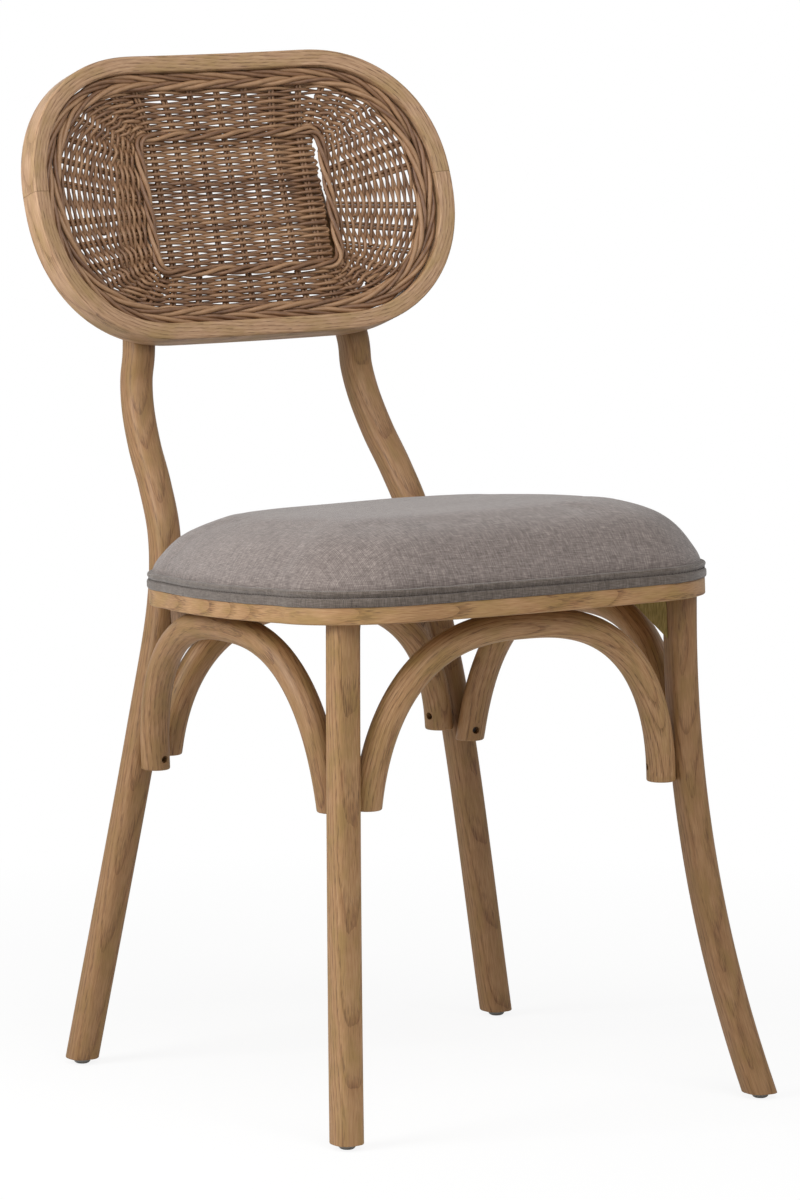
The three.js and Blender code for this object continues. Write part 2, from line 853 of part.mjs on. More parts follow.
const innerEdge = panelFrameWidth + clearance;
const borderEdge = innerEdge + borderWidth;
const walingRadius = walingDiameter / 2;
const walingLoops = [];
for (let i = 0; i < screwSides; i += 1) {
  const turn = i / screwSides * 2 * Math.PI;
  const inset = -clearance - walingRadius + walingRadius * Math.cos(turn);
  walingLoops.push(panelRing(basketLoop, inset, basketDepth + walingRadius * Math.sin(turn)));
}
addWicker('wicker_waling', stitched(walingLoops, true));

// The wall runs from the waling out to the border. Its places count stakes from the middle of
// the lower side, and its quarters are alike.
const wallQuarter = wallInnerShares.length - 1 / 2;
const wallLipDepth = borderSetback + borderThickness / 2;

function wallEdge(loop, shares) {
  const middle = new THREE.Vector2(0, loop[0].y);
  const path = new THREE.Path([middle, ...loop, middle]);
  const stops = [...shares, 2 - shares[shares.length - 1]];
  return (place) => {
    const quarter = Math.floor(place / wallQuarter);
    const isTurned = quarter % 2 === 1;
    const rest = place - quarter * wallQuarter;
    const count = isTurned ? wallQuarter - rest : rest;
    const before = Math.floor(count);
    const share = THREE.MathUtils.lerp(stops[before], stops[before + 1], count - before);
    return path.getPoint((quarter + (isTurned ? 1 - share : share)) / 4);
  };
}

// The inner edge has a little more room, as its straight steps cut across the corners
const wallRoom = clearance * 5 / 2;
const wallInner = wallEdge(insetLoop(basketLoop, -walingDiameter - wallRoom), wallInnerShares);
const wallOuter = wallEdge(insetLoop(panelLoop, borderEdge + clearance), wallOuterShares);
const wallPlaces = Array.from({ length: 8 * wallQuarter }, (_, i) => i / 2);
const [wallFront, wallBack] = wovenGrids(wallBands, wallPlaces, (place, share, depth) => {
  const point = wallInner(place).lerp(wallOuter(place), share);
  const middle = THREE.MathUtils.lerp(basketDepth, wallLipDepth, share);
  return panelPoint(point.x, point.y, middle + depth);
});
addWicker('wicker_wall', stitched([...wallFront, ...wallBack.reverse()], true));
addWicker('wicker_border', stitched(
  easedSection(innerEdge, borderEdge, borderSetback, borderSetback + borderThickness,
    panelFrameEase).map(([inset, depth]) => panelRing(panelLoop, inset, depth)),
  true,
));

// Rear legs
const rearFoot = centreAt(rearPath, glideHeight);
const rearLeg = cutFrom(
  rearLegRod(0),
  underFloor,
  seatNotch,
  panelNotch,
  holeAt(rearArchScrew),
  holeAt(sideRearScrew),
  holeAt(panelLowScrew),
  holeAt(panelHighScrew),
  holeAt(boltPlace, boltSize),
  glideAt(rearFoot, clearance),
);
addWood('rear_leg_right', rearLeg);
addWood('rear_leg_left', mirrored(rearLeg));

// Front legs
const frontFoot = frontLegCentre(glideHeight);

function frontTenon(growth) {
  const radius = frontTenonDiameter / 2 + growth;
  const root = frontLegTop.clone().addScaledVector(seatUp, -frontTenonLength);
  const length = 2 * frontTenonLength + growth;
  return turned([[0, 0], [radius, 0], [radius, length], [0, length]], legSides, root, seatUp);
}

const frontLegBody = cutFrom(
  frontLegRod(0),
  underFloor,
  aboveSeat(),
  holeAt(frontArchScrew),
  holeAt(sideFrontScrew),
  glideAt(frontFoot, clearance),
);
const frontLeg = joined(frontLegBody, frontTenon(0));
addWood('front_leg_right', frontLeg);
addWood('front_leg_left', mirrored(frontLeg));

// Arches
function addArch(name, plan, legs, places) {
  const holes = [...places, archTopScrew(plan)].map((place) => holeAt(place));
  const geometry = cutFrom(archRod(plan), ...legs, aboveSeat(), ...holes);
  addWood(name, geometry);
  return geometry;
}

const grownFront = frontLegRod(clearance);
const grownRear = rearLegRod(clearance);
addArch('arch_front', frontArchPlan, [grownFront, mirrored(toGeometry(toSolid(grownFront)))],
  [frontArchScrew, mirrorScrew(frontArchScrew)]);
addArch('arch_rear', rearArchPlan, [grownRear, mirrored(toGeometry(toSolid(grownRear)))],
  [rearArchScrew, mirrorScrew(rearArchScrew)]);
const rightArch = addArch('arch_right', sideArchPlan, [grownFront, grownRear],
  [sideFrontScrew, sideRearScrew]);
addWood('arch_left', mirrored(rightArch));

// Seat frame
const leftTopScrew = mirrorScrew(archTopScrew(sideArchPlan));
const seatHoles = [
  frontTenon(clearance),
  mirrored(frontTenon(clearance)),
  holeAt(archTopScrew(frontArchPlan)),
  holeAt(archTopScrew(rearArchPlan)),
  holeAt(archTopScrew(sideArchPlan)),
  holeAt(leftTopScrew),
  holeAt(boltPlace, boltSize),
  holeAt(mirrorScrew(boltPlace), boltSize),
  ...boardScrews.flatMap((place) => [holeAt(place), holeAt(mirrorScrew(place))]),
];
const seatRingSolid = stitched(
  easedSection(0, seatFrameWidth, 0, seatFrameThickness, seatFrameEase)
    .map(([inset, rise]) => seatRing(inset, rise)),
  true,
);
addWood('seat_frame', cutFrom(seatRingSolid, ...seatHoles));

// Corner blocks: triangles that brace each leg towards the middle of the seat
function cornerBlock(spread, along, grownLeg) {
  const shape = new THREE.Shape([
    new THREE.Vector2(0, 0),
    new THREE.Vector2(-blockReach, 0),
    new THREE.Vector2(0, -blockReach),
  ]);
  const block = new THREE.ExtrudeGeometry(shape, { depth: blockThickness, bevelEnabled: false });
  block.translate(0, 0, -blockThickness / 2);
  block.rotateX(Math.PI / 2);
  block.rotateZ(Math.sign(along) * blockTurn);
  block.translate(spread / 2, along, -clearance);
  return cutFrom(onSeat(block), grownLeg);
}

const frontBlock = cornerBlock(frontLegSpread, -frontLegReach, grownFront);
const rearBlock = cornerBlock(rearLegSpread, rearLegReach, grownRear);
[['front', frontBlock], ['rear', rearBlock]].forEach(([row, block]) => {
  addPiece(`corner_block_${row}_right`, block, colours.block, 0.7);
  addPiece(`corner_block_${row}_left`, mirrored(block), colours.block, 0.7);
});

// Seat pad
const boardLow = seatTopRise + clearance;
const boardHigh = boardLow + seatBoardThickness;
const boardHoles = boardScrews.flatMap((place) => [holeAt(place), holeAt(mirrorScrew(place))]);
addPiece('seat_board', cutFrom(stitched([
  seatRing(seatBoardInset, boardLow),
  seatRing(seatBoardInset, boardHigh),
], false), ...boardHoles), colours.plywood, 0.7);

// The crown: loops drawn in towards the middle as they climb
function crownRing(inset, base, rise, share) {
  const reach = Math.cos(share * Math.PI / 2);
  const middle = new THREE.Vector2(0, (seatRearReach - seatFrontReach) / 2);
  const height = base + rise * (1 - reach ** crownEdgePower) ** crownRoundPower;
  return insetLoop(seatLoop, inset).map((point) => {
    const place = middle.clone().lerp(point, reach);
    const fullness = 1 - crownFrontShare * place.y / seatFrontReach;
    return seatPoint(place.x, place.y, base + (height - base) * fullness);
  });
}

function crownRings(inset, base, rise) {
  const rings = [];
  for (let i = 0; i < crownSteps; i += 1) {
    rings.push(crownRing(inset, base, rise, (i / crownSteps) ** crownSpacingPower));
  }
  return rings;
}

const coverOuter = coverInset;
const coverInner = coverInset + coverThickness;
const foamInset = coverInner + clearance;
const foamLow = boardHigh + clearance;
addPiece('seat_foam', stitched([
  seatRing(foamInset, foamLow),
  ...crownRings(foamInset, weltTopRise, crownRise - coverThickness - clearance),
], false), colours.foam, 0.9);

const coverSkin = [
  seatRing(coverOuter, boardLow),
  ...crownRings(coverOuter, weltTopRise, crownRise),
];
const coverHollow = [
  seatRing(coverInner, boardLow - overrun),
  ...crownRings(coverInner, weltTopRise, crownRise - coverThickness),
];
addPiece('seat_cover', cutFrom(stitched(coverSkin, false), stitched(coverHollow, false)),
  colours.linen, 0.95);
addPiece('seat_welt', stitched(
  easedSection(-weltOverhang, coverOuter - clearance, boardLow, boardLow + weltHeight, weltEase)
    .map(([inset, rise]) => seatRing(inset, rise)),
  true,
), colours.linen, 0.95);

// Fasteners and glides
function addFasteners(name, place, size = screwSize) {
  addPiece(`${name}_right`, screwAt(place, size), colours.steel, 0.45, 0.8);
  addPiece(`${name}_left`, screwAt(mirrorScrew(place), size), colours.steel, 0.45, 0.8);
}

addFasteners('arch_screw_front', frontArchScrew);
addFasteners('arch_screw_rear', rearArchScrew);
addFasteners('arch_screw_side_front', sideFrontScrew);
addFasteners('arch_screw_side_rear', sideRearScrew);
addFasteners('seat_screw_side', archTopScrew(sideArchPlan));
addPiece('seat_screw_front', screwAt(archTopScrew(frontArchPlan)), colours.steel, 0.45, 0.8);
addPiece('seat_screw_rear', screwAt(archTopScrew(rearArchPlan)), colours.steel, 0.45, 0.8);
addFasteners('board_screw_front', boardScrews[0]);
addFasteners('board_screw_rear', boardScrews[1]);
addFasteners('panel_screw_low', panelLowScrew);
addFasteners('panel_screw_high', panelHighScrew);
addFasteners('rear_bolt', boltPlace, boltSize);

[['front', frontFoot], ['rear', rearFoot]].forEach(([row, centre]) => {
  sides.forEach(([name, sign]) => {
    const place = centre.clone().setX(sign * centre.x);
    addPiece(`glide_${row}_${name}`, glideAt(place), colours.glide, 0.4);
  });
});

// The origin is under the middle of the chair's own box
const box = new THREE.Box3().setFromObject(chair);
chair.position.y = -(box.min.y + box.max.y) / 2;

export default chair;
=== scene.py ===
import bisect
import random
from functools import partial
from math import asin, atan2, copysign, cos, pi, radians, sin, sqrt, tan, tanh, tau

import bmesh
import bpy
from mathutils import Matrix, Vector, noise


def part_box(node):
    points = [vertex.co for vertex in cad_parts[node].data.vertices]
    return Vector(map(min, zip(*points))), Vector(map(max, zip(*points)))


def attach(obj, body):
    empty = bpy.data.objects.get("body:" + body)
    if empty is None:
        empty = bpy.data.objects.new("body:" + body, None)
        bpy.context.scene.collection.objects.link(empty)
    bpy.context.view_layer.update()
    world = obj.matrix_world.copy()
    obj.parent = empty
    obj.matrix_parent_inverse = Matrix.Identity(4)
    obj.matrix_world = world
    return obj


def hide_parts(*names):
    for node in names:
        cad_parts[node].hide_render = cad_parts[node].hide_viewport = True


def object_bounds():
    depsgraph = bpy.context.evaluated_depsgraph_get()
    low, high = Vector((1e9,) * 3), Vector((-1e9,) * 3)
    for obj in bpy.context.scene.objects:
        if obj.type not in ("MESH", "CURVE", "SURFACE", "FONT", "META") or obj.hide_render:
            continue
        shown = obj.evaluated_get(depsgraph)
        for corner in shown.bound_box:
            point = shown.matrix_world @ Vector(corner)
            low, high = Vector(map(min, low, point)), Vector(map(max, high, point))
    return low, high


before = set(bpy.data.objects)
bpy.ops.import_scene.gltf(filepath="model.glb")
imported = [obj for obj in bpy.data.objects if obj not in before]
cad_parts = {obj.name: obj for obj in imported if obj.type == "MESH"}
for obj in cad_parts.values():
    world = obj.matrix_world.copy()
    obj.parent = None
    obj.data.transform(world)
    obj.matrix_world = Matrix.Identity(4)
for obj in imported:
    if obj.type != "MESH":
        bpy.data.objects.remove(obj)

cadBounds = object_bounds()
random.seed(7)

# Sizes are in millimetres in the chair's own plan, with y = 0 midway between the
# front and rear feet. toScene turns a point to metres in the frame's place.
metre = 0.001


def midOf(node):
    low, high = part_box(node)
    return (low + high) / 2


planShift = (midOf("glide_front_left").y + midOf("glide_rear_left").y) / 2


def toScene(point):
    return Vector((point.x * metre, point.y * metre + planShift, point.z * metre))


def setAll(thing, **settings):
    for name, value in settings.items():
        setattr(thing, name, value)
    return thing


def newObject(name, data):
    made = bpy.data.objects.new(name, data)
    bpy.context.scene.collection.objects.link(made)
    return made


def aimed(name, data, place, direction):
    # A camera or a lamp at a place, looking along the direction
    return setAll(newObject(name, data), location=place, rotation_mode="QUATERNION",
                  rotation_quaternion=direction.to_track_quat("-Z", "Y"))


# Camera with a long lens, where the photograph was taken from
cameraSet = {"place": (-3.4637, -5.6196, 1.3185), "yaw": -31.49, "pitch": 7.79, "lens": 234.8}


def makeCamera(settings):
    data = bpy.data.cameras.new("photoCamera")
    setAll(data, sensor_width=36, lens=settings["lens"], clip_end=100)
    yaw, pitch = radians(settings["yaw"]), radians(settings["pitch"])
    flat = cos(pitch)
    ahead = Vector((-sin(yaw) * flat, cos(yaw) * flat, -sin(pitch)))
    place = Vector(settings["place"]) + Vector((0, planShift, 0))
    bpy.context.scene.camera = aimed("photoCamera", data, place, ahead)


makeCamera(cameraSet)
bpy.context.scene.view_settings.view_transform = "Standard"
print("camera placed")


# Node trees

def linear(hexColour):
    channels = [int(hexColour[i:i + 2], 16) / 255 for i in (1, 3, 5)]
    return tuple(c / 12.92 if c <= 0.04045 else ((c + 0.055) / 1.055) ** 2.4 for c in channels) + (1.0,)


def addNode(tree, kind, inputs=(), operation=None, stops=None, **settings):
    # kind is the node's type without the name of its family. inputs is a list in socket order
    # or a dict by socket name; a node in it stands for its first output. stops are a ramp's
    # places, each with a hex colour or a grey value.
    families = ("ShaderNode", "GeometryNode", "Node")
    node = tree.nodes.new(next(f + kind for f in families if hasattr(bpy.types, f + kind)))
    setAll(node, **settings)
    if operation:
        node.operation = operation
    sockets = [socket for socket in node.inputs if socket.enabled]
    pairs = inputs.items() if isinstance(inputs, dict) else enumerate(inputs)
    for name, value in pairs:
        socket = sockets[name] if isinstance(name, int) else next(s for s in sockets if s.name == name)
        if isinstance(value, bpy.types.Node):
            value = next(s for s in value.outputs if s.enabled)
        if isinstance(value, bpy.types.NodeSocket):
            tree.links.new(value, socket)
        elif value is not None:
            socket.default_value = value
    if stops:
        elements = node.color_ramp.elements
        while len(elements) < len(stops):
            elements.new(0.5)
        for element, (place, colour) in zip(elements, stops):
            element.position = place
            element.color = linear(colour) if isinstance(colour, str) else (colour, colour, colour, 1)
    return node


def newTree(name, sockets):
    # A geometry tree with its geometry first, then the named inputs
    tree = bpy.data.node_groups.new(name, "GeometryNodeTree")
    for socket, kind in [("Geometry", "Geometry")] + sockets:
        tree.interface.new_socket(socket, in_out="INPUT", socket_type="NodeSocket" + kind)
    tree.interface.new_socket("Geometry", in_out="OUTPUT", socket_type="NodeSocketGeometry")
    add = partial(addNode, tree)
    return tree, add, add("GroupInput").outputs


def modify(piece, kind, **settings):
    return setAll(piece.modifiers.new(kind.lower(), kind), **settings)


def bake(piece):
    # Keeps what the piece's modifiers make of it as its own mesh
    graph = bpy.context.evaluated_depsgraph_get()
    mesh = bpy.data.meshes.new_from_object(piece.evaluated_get(graph), depsgraph=graph)
    piece.modifiers.clear()
    piece.data = mesh


def runTree(piece, tree, values):
    modifier = modify(piece, "NODES", node_group=tree)
    for item in tree.interface.items_tree:
        if item.in_out == "INPUT" and item.name in values:
            modifier[item.identifier] = values[item.name]
    bake(piece)


# Materials

def newMaterial(name):
    material = bpy.data.materials.new(name)
    material.use_nodes = True
    material.node_tree.nodes.clear()
    return material, partial(addNode, material.node_tree)


def mixedColour(add, look, *parts):
    value, *shares = look["mix"]
    for part, share in zip(parts, shares):
        value = add("Math", [part, share, value], "MULTIPLY_ADD")
    return add("ValToRGB", [value], stops=look["tones"])


def finishMaterial(add, height, relief, inputs):
    # A material's last nodes: a fine relief of some strength and depth, the shader, the output
    strength, depth = relief
    bump = add("Bump", {"Strength": strength, "Distance": depth * metre, "Height": height})
    shader = add("BsdfPrincipled", inputs | {"Normal": bump})
    add("OutputMaterial", {"Surface": shader})


# In each look, tones is the ramp from a mixed value to the colour. mix is the value to start
# from, then the share that each part adds to it. relief is a strength and a depth in mm.

woodLook = {
    "tones": [(0.36, "#b18c64"), (0.52, "#9c764f"), (0.7, "#7a5334")],
    # The dark brown that whole pieces are drawn towards is partly their real stain and partly painted shade.
    "pore": "#4b3220", "olive": "#917543", "stainAndShade": "#5c3b20",
    "mix": (0.04, 0.42, 0.5), "relief": (0.2, 0.4),
    "ring": 3.2,            # mm between growth rings
    "slope": 0.04,          # how fast the rod runs out through the rings
    "waver": (5, 110),      # mm that the rings swing sideways, and along the rod
    "fibre": (0.8, 14),     # mm across and along a bundle of fibres
    "poreSize": (0.5, 10),  # mm; real ash pores are 0.3 mm wide, drawn wider so that they show
    "blotch": (12, 30),     # mm across and along a patch of stain
    "rough": (0.46, 0.15),  # roughness, and how much more it has in a patch of stain
    # How dark a ring is and how many pores it has, from its start to its end
    "ringTone": [(0.0, 0.78), (0.1, 0.66), (0.22, 0.43), (0.5, 0.36), (1.0, 0.54)],
    "ringPores": [(0.0, 1.0), (0.25, 0.8), (0.45, 0.15), (1.0, 0.3)],
    # Where the noises show pores and olive patches
    "poreMask": [(0.37, 0.75), (0.5, 0.0)],
    "oliveMask": [(0.42, 0.0), (0.68, 0.7)],
}


def weatheredAsh(name, look):
    # Ash, steam-bent, stained brown and waxed: matt, with arched growth rings whose early wood
    # has short open pores. The grain attribute is across, across and along the rod, in metres,
    # measured from the heart of the log.
    material, add = newMaterial(name)
    grain = add("Attribute", attribute_name="grain").outputs["Vector"]
    noises = []
    for key, detail in (("fibre", 3.0), ("poreSize", 1.0), ("blotch", 3.0)):
        across, along = look[key]
        space = add("VectorMath", [grain, (1, 1, across / along)], "MULTIPLY")
        noises.append(add("TexNoise", {"Vector": space, "Scale": 1 / (across * metre), "Detail": detail}))
    fibre, pores, blotch = noises
    swing, length = look["waver"]
    waver = add("TexNoise", {"Vector": grain, "Scale": 1 / (length * metre), "Detail": 1.0})
    heart = add("VectorMath", [grain, (1, 1, 0)], "MULTIPLY")
    radius = add("VectorMath", [heart], "LENGTH").outputs["Value"]
    along = add("SeparateXYZ", [grain]).outputs["Z"]
    for part, share in ((along, look["slope"]), (waver, 2 * swing * metre)):
        radius = add("Math", [part, share, radius], "MULTIPLY_ADD")
    rings = add("Math", [radius, look["ring"] * metre], "DIVIDE")
    rings = add("Math", [rings], "FRACT")
    ringTone, earlyWood, openPores, olive = (
        add("ValToRGB", [part], stops=look[key]) for part, key in (
            (rings, "ringTone"), (rings, "ringPores"), (pores, "poreMask"), (blotch, "oliveMask")))
    colour = mixedColour(add, look, ringTone, fibre)
    openPores = add("Math", [openPores, earlyWood], "MULTIPLY")
    # Whole pieces are darkened towards that brown by a per-piece share: partly real stain, partly painted
    # shade on pieces far from the lamp or in the chair's shadow.
    stainAndShade = add("Attribute", attribute_name="stainAndShade").outputs["Fac"]
    for share, shade in ((olive, "olive"), (openPores, "pore"), (stainAndShade, "stainAndShade")):
        colour = add("Mix", [share, colour, linear(look[shade])], data_type="RGBA")
    least, more = look["rough"]
    rough = add("Math", [blotch, more, least], "MULTIPLY_ADD")
    height = add("Math", [fibre, openPores], "SUBTRACT")
    finishMaterial(add, height, look["relief"], {
        "Base Color": colour, "Roughness": rough, "IOR": 1.4})
    return material


rodLook = {
    "tones": [(0.35, "#583a25"), (0.62, "#896547"), (0.9, "#a98562")],
    "mix": (0.07, 0.3, 0.5, 0.26), "relief": (0.3, 0.3), "rough": 0.5,
    "streak": 1.1,        # mm between streaks
    "run": 0.08,          # share of that pace at which they change along a rod
    "patch": 1000 / 170,  # mm across a paler or darker patch
}


def stainedWillow(look):
    # Peeled willow rods, dried and stained brown: each rod has its own tone and fine streaks
    material, add = newMaterial("stained willow")
    tone = add("Attribute", attribute_name="rodTone").outputs["Fac"]
    place = add("Attribute", attribute_name="rodPlace").outputs["Vector"]
    stretch = add("VectorMath", [place, (1, 1, look["run"])], "MULTIPLY")
    streaks, patches = (
        add("TexNoise", {"Vector": space, "Scale": 1 / (look[key] * metre), "Detail": 2.0})
        for space, key in ((stretch, "streak"), (place, "patch")))
    colour = mixedColour(add, look, tone, streaks, patches)
    finishMaterial(add, streaks, look["relief"], {"Base Color": colour, "Roughness": look["rough"]})
    return material


linenLook = {
    "tones": [(0.3, "#5a514d"), (0.55, "#7b706b"), (0.8, "#a0958e")],
    "mix": (0.27, 0.6, 0.14, 0.15), "relief": (0.3, 0.4), "slubRelief": 1.2, "blend": 4.0,
    "thread": 1.2,       # mm between threads; real linen has about 0.6 mm, drawn coarser to show
    "slub": 0.96,        # mm across a thick thread
    "run": 0.12,         # share of that pace at which it changes along the thread
    "cloud": 1000 / 12,  # mm across a paler or darker area
    "surface": {"Roughness": 0.9, "Sheen Weight": 0.32, "Sheen Roughness": 0.5,
                "Specular IOR Level": 0.2},
}


def greyLinen(name, look):
    # Woven linen blend: matt, thick and thin threads both ways, with a soft sheen at its edges
    material, add = newMaterial(name)
    place = add("TexCoord").outputs["Object"]
    axes = add("SeparateXYZ", [place]).outputs
    facing = add("SeparateXYZ", [add("NewGeometry").outputs["Normal"]]).outputs
    total, height = 0.0, 0.0
    for side, pair in ((0, (1, 2)), (1, (0, 2)), (2, (0, 1))):
        weight = add("Math", [facing[side]], "ABSOLUTE")
        weight = add("Math", [weight, look["blend"]], "POWER")
        total = add("Math", [total, weight], "ADD")
        for axis in pair:
            wave = add("Math", [axes[axis], pi / (look["thread"] * metre)], "MULTIPLY")
            for step in ("SINE", "ABSOLUTE"):
                wave = add("Math", [wave], step)
            height = add("Math", [wave, weight, height], "MULTIPLY_ADD")
    height = add("Math", [height, total], "DIVIDE")
    slub = 0.0
    for axis in range(3):
        stretch = [1 if other == axis else look["run"] for other in range(3)]
        space = add("VectorMath", [place, stretch], "MULTIPLY")
        threads = add("TexNoise", {"Vector": space, "Scale": 1 / (look["slub"] * metre), "Detail": 2.0})
        threads = add("Math", [threads, 0.5], "SUBTRACT")
        hidden = add("Math", [facing[axis], facing[axis]], "MULTIPLY")
        shown = add("Math", [1.0, hidden], "SUBTRACT")
        slub = add("Math", [threads, shown, slub], "MULTIPLY_ADD")
    cloud = add("TexNoise", {"Vector": place, "Scale": 1 / (look["cloud"] * metre), "Detail": 2.0})
    colour = mixedColour(add, look, slub, height, cloud)
    height = add("Math", [slub, look["slubRelief"], height], "MULTIPLY_ADD")
    finishMaterial(add, height, look["relief"], look["surface"] | {"Base Color": colour})
    return material


def speckled(name, pale, deep, grainSize, roughness, stretch=(1, 1, 1), metallic=0.0):
    # A plain finish with fine speckle, for pieces of which little shows
    material, add = newMaterial(name)
    place = add("TexCoord").outputs["Object"]
    space = add("VectorMath", [place, stretch], "MULTIPLY")
    fine = add("TexNoise", {"Vector": space, "Scale": 1 / (grainSize * metre), "Detail": 3.0})
    colour = add("ValToRGB", [fine], stops=[(0.35, deep), (0.65, pale)])
    finishMaterial(add, fine, (0.2, 0.3), {
        "Base Color": colour, "Roughness": roughness, "Metallic": metallic})
    return material


ash = weatheredAsh("weathered ash", woodLook)
# The back frame's ash is paler and pinker than the rest: partly its own tone, partly painted light, raised
# to the brightness of its lit left side.
paleLitFrameAsh = weatheredAsh("paler weathered ash of the back frame with painted light", woodLook | {
    "tones": [(0.36, "#bb9979"), (0.52, "#a58263"), (0.7, "#8b6a4b")], "olive": "#9a7e51"})
willow = stainedWillow(rodLook)
linen = greyLinen("grey linen", linenLook)
# The welt is the same linen drawn darker, which is painted shade for its sides under the cushion's rounded
# edge.
shadedWeltLinen = greyLinen("grey linen welt with painted shade", linenLook | {
    "tones": [(0.3, "#433b36"), (0.55, "#61574f"), (0.8, "#7f756e")]})
sewingThread = speckled("sewing thread", "#5c544f", "#4a433f", 0.5, 0.8)
sawnPine = speckled("raw sawn pine", "#97834c", "#75642f", 1.2, 0.8, (1, 1, 0.15))
stainedBlock = speckled("stained block", "#8b6c50", "#6b523a", 1.2, 0.6, (1, 1, 0.15))
plywood = speckled("birch plywood", "#c9ab7e", "#ad8b5d", 1.5, 0.7, (1, 0.08, 1))
nylon = speckled("moulded nylon", "#8b8b87", "#7b7b78", 0.8, 0.35)
steel = speckled("zinc plated steel", "#77746f", "#5f5c58", 0.5, 0.38, metallic=1.0)
print("materials made")


# The planes of the seat and of the back panel

seat = {
    "height": 425, "tilt": 3.6, "frontWidth": 412, "rearWidth": 373, "frontReach": 187.5,
    "rearReach": 212, "frontCorner": 79, "rearCorner": 109, "frontBow": 12, "sideBow": 11.5,
    "bowShare": 0.6, "thickness": 15, "width": 62, "ease": 1.6,
}
panel = {
    "width": 422, "height": 256, "corner": 126, "power": 2.18, "rise": 315.5, "setback": 303,
    "lean": 19.3, "bend": 1650, "frameWidth": 15, "frameDepth": 25, "ease": 1.9,
    "jointRise": 8, "jointGap": 0.3,
}
legs = {
    "width": 27.5, "drawnWidth": 26.1, "power": 2.8, "frontSpread": 333, "frontReach": 147,
    "frontFootSpread": 411, "frontFootReach": 217, "sweepPower": 2.15, "rearSpread": 268,
    "rearReach": 208, "rearFootSpread": 426, "rearFootReach": 217, "kneeReach": 202.5,
    "kneeHeight": 290, "kneeBow": 2, "postLowSpread": 218, "postHighSpread": 142, "postInset": 6,
    "lap": 0.8, "glide": 4.3, "frontEase": 0.9, "rearEase": 1.5, "frontSteps": 90,
    "frontOver": 20, "rearSteps": 220,
    # How much darker each leg is drawn: partly real stain, partly painted shade, most on the right front leg
    # far from the lamp and on the rear legs in the chair's shadow
    "rearStainAndShade": 0.36, "stainAndShade": {"left": 0.15, "right": 0.42},
    "curve": [(0.26, 0.12), (0.46, 0.41), (0.61, 0.69), (0.76, 0.9), (0.88, 0.99)],
}

outlineSteps, arcSteps = 240, 24
sharpAngle = radians(40)
up = Vector((0, 0, 1))
forward = Vector((0, -1, 0))
frontRow = Vector((0, -legs["frontReach"], 0))
seatTurn = Matrix.Rotation(radians(-seat["tilt"]), 4, "X")
seatPlace = Matrix.Translation(frontRow + up * seat["height"]) @ seatTurn @ Matrix.Translation(-frontRow)
seatUp = seatTurn @ up
panelTurn = Matrix.Rotation(pi / 2 - radians(panel["lean"]), 4, "X")
panelPlace = Matrix.Translation((0, panel["setback"], seat["height"] + panel["rise"])) @ panelTurn
panelUp = panelTurn @ -forward


def seatPoint(x, y, rise):
    return seatPlace @ Vector((x, y, rise))


def panelPoint(x, y, depth):
    bend = panel["bend"] - sqrt(panel["bend"] ** 2 - x ** 2)
    return panelPlace @ Vector((x, y, bend - depth))


def mirrorX(point):
    return Vector((-point.x, point.y, point.z))


def roundPower(value, power):
    return copysign(abs(value) ** (2 / power), value)


def arcPoints(centre, radius, power, start, end):
    turns = [start + (end - start) * i / arcSteps for i in range(arcSteps + 1)]
    return [Vector((centre[0] + roundPower(cos(t), power) * radius,
                    centre[1] + roundPower(sin(t), power) * radius)) for t in turns]


def sideways(a, b):
    return Vector((a.y - b.y, b.x - a.x)).normalized()


def between(start, end, bow=0.0):
    side = sideways(end, start)
    shares = [i / arcSteps for i in range(1, arcSteps)]
    return [start.lerp(end, s) + side * (bow * 4 * s * (1 - s)) for s in shares]


def measured(loop):
    # The closed outline with the distance reached at each of its points
    closed = loop + [loop[0]]
    reach = [0.0]
    for a, b in zip(closed, closed[1:]):
        reach.append(reach[-1] + (b - a).length)
    return closed, reach


def pointAlong(outline, distance):
    closed, reach = outline
    span = min(bisect.bisect_right(reach, distance % reach[-1]), len(reach) - 1) - 1
    gap = reach[span + 1] - reach[span]
    return closed[span].lerp(closed[span + 1], (distance % reach[-1] - reach[span]) / gap if gap else 0)


def evenLoop(half):
    # Evenly spaced points of the half outline and its mirror, from the front middle round by +X
    outline = measured(half + [Vector((-p.x, p.y)) for p in reversed(half)])
    return [pointAlong(outline, outline[1][-1] * (i + 0.5) / outlineSteps) for i in range(outlineSteps)]


def seatOutline():
    narrowing = (seat["frontWidth"] - seat["rearWidth"]) / 2
    taper = atan2(narrowing, seat["frontReach"] + seat["rearReach"])
    normal = Vector((cos(taper), sin(taper)))
    offset = normal.dot(Vector((seat["frontWidth"] / 2, -seat["frontReach"])))

    def cornerAt(y, radius):
        return Vector(((offset - radius - normal.y * y) / normal.x, y))

    front = cornerAt(seat["frontCorner"] - seat["frontReach"], seat["frontCorner"])
    rear = cornerAt(seat["rearReach"] - seat["rearCorner"], seat["rearCorner"])
    frontArc = arcPoints(front, seat["frontCorner"], 2, -pi / 2, taper)
    rearArc = arcPoints(rear, seat["rearCorner"], 2, taper, pi / 2)
    frontMiddle = Vector((0.0, -seat["frontReach"]))
    half = [frontMiddle] + between(frontMiddle, frontArc[0]) + frontArc
    half += between(frontArc[-1], rearArc[0], seat["sideBow"]) + rearArc
    half += [Vector((0.0, seat["rearReach"]))]
    span = front.x + seat["frontCorner"] * seat["bowShare"]
    for point in half:
        if point.y < 0:
            point.y -= seat["frontBow"] * max(0, 1 - (point.x / span) ** 2)
    return evenLoop(half)


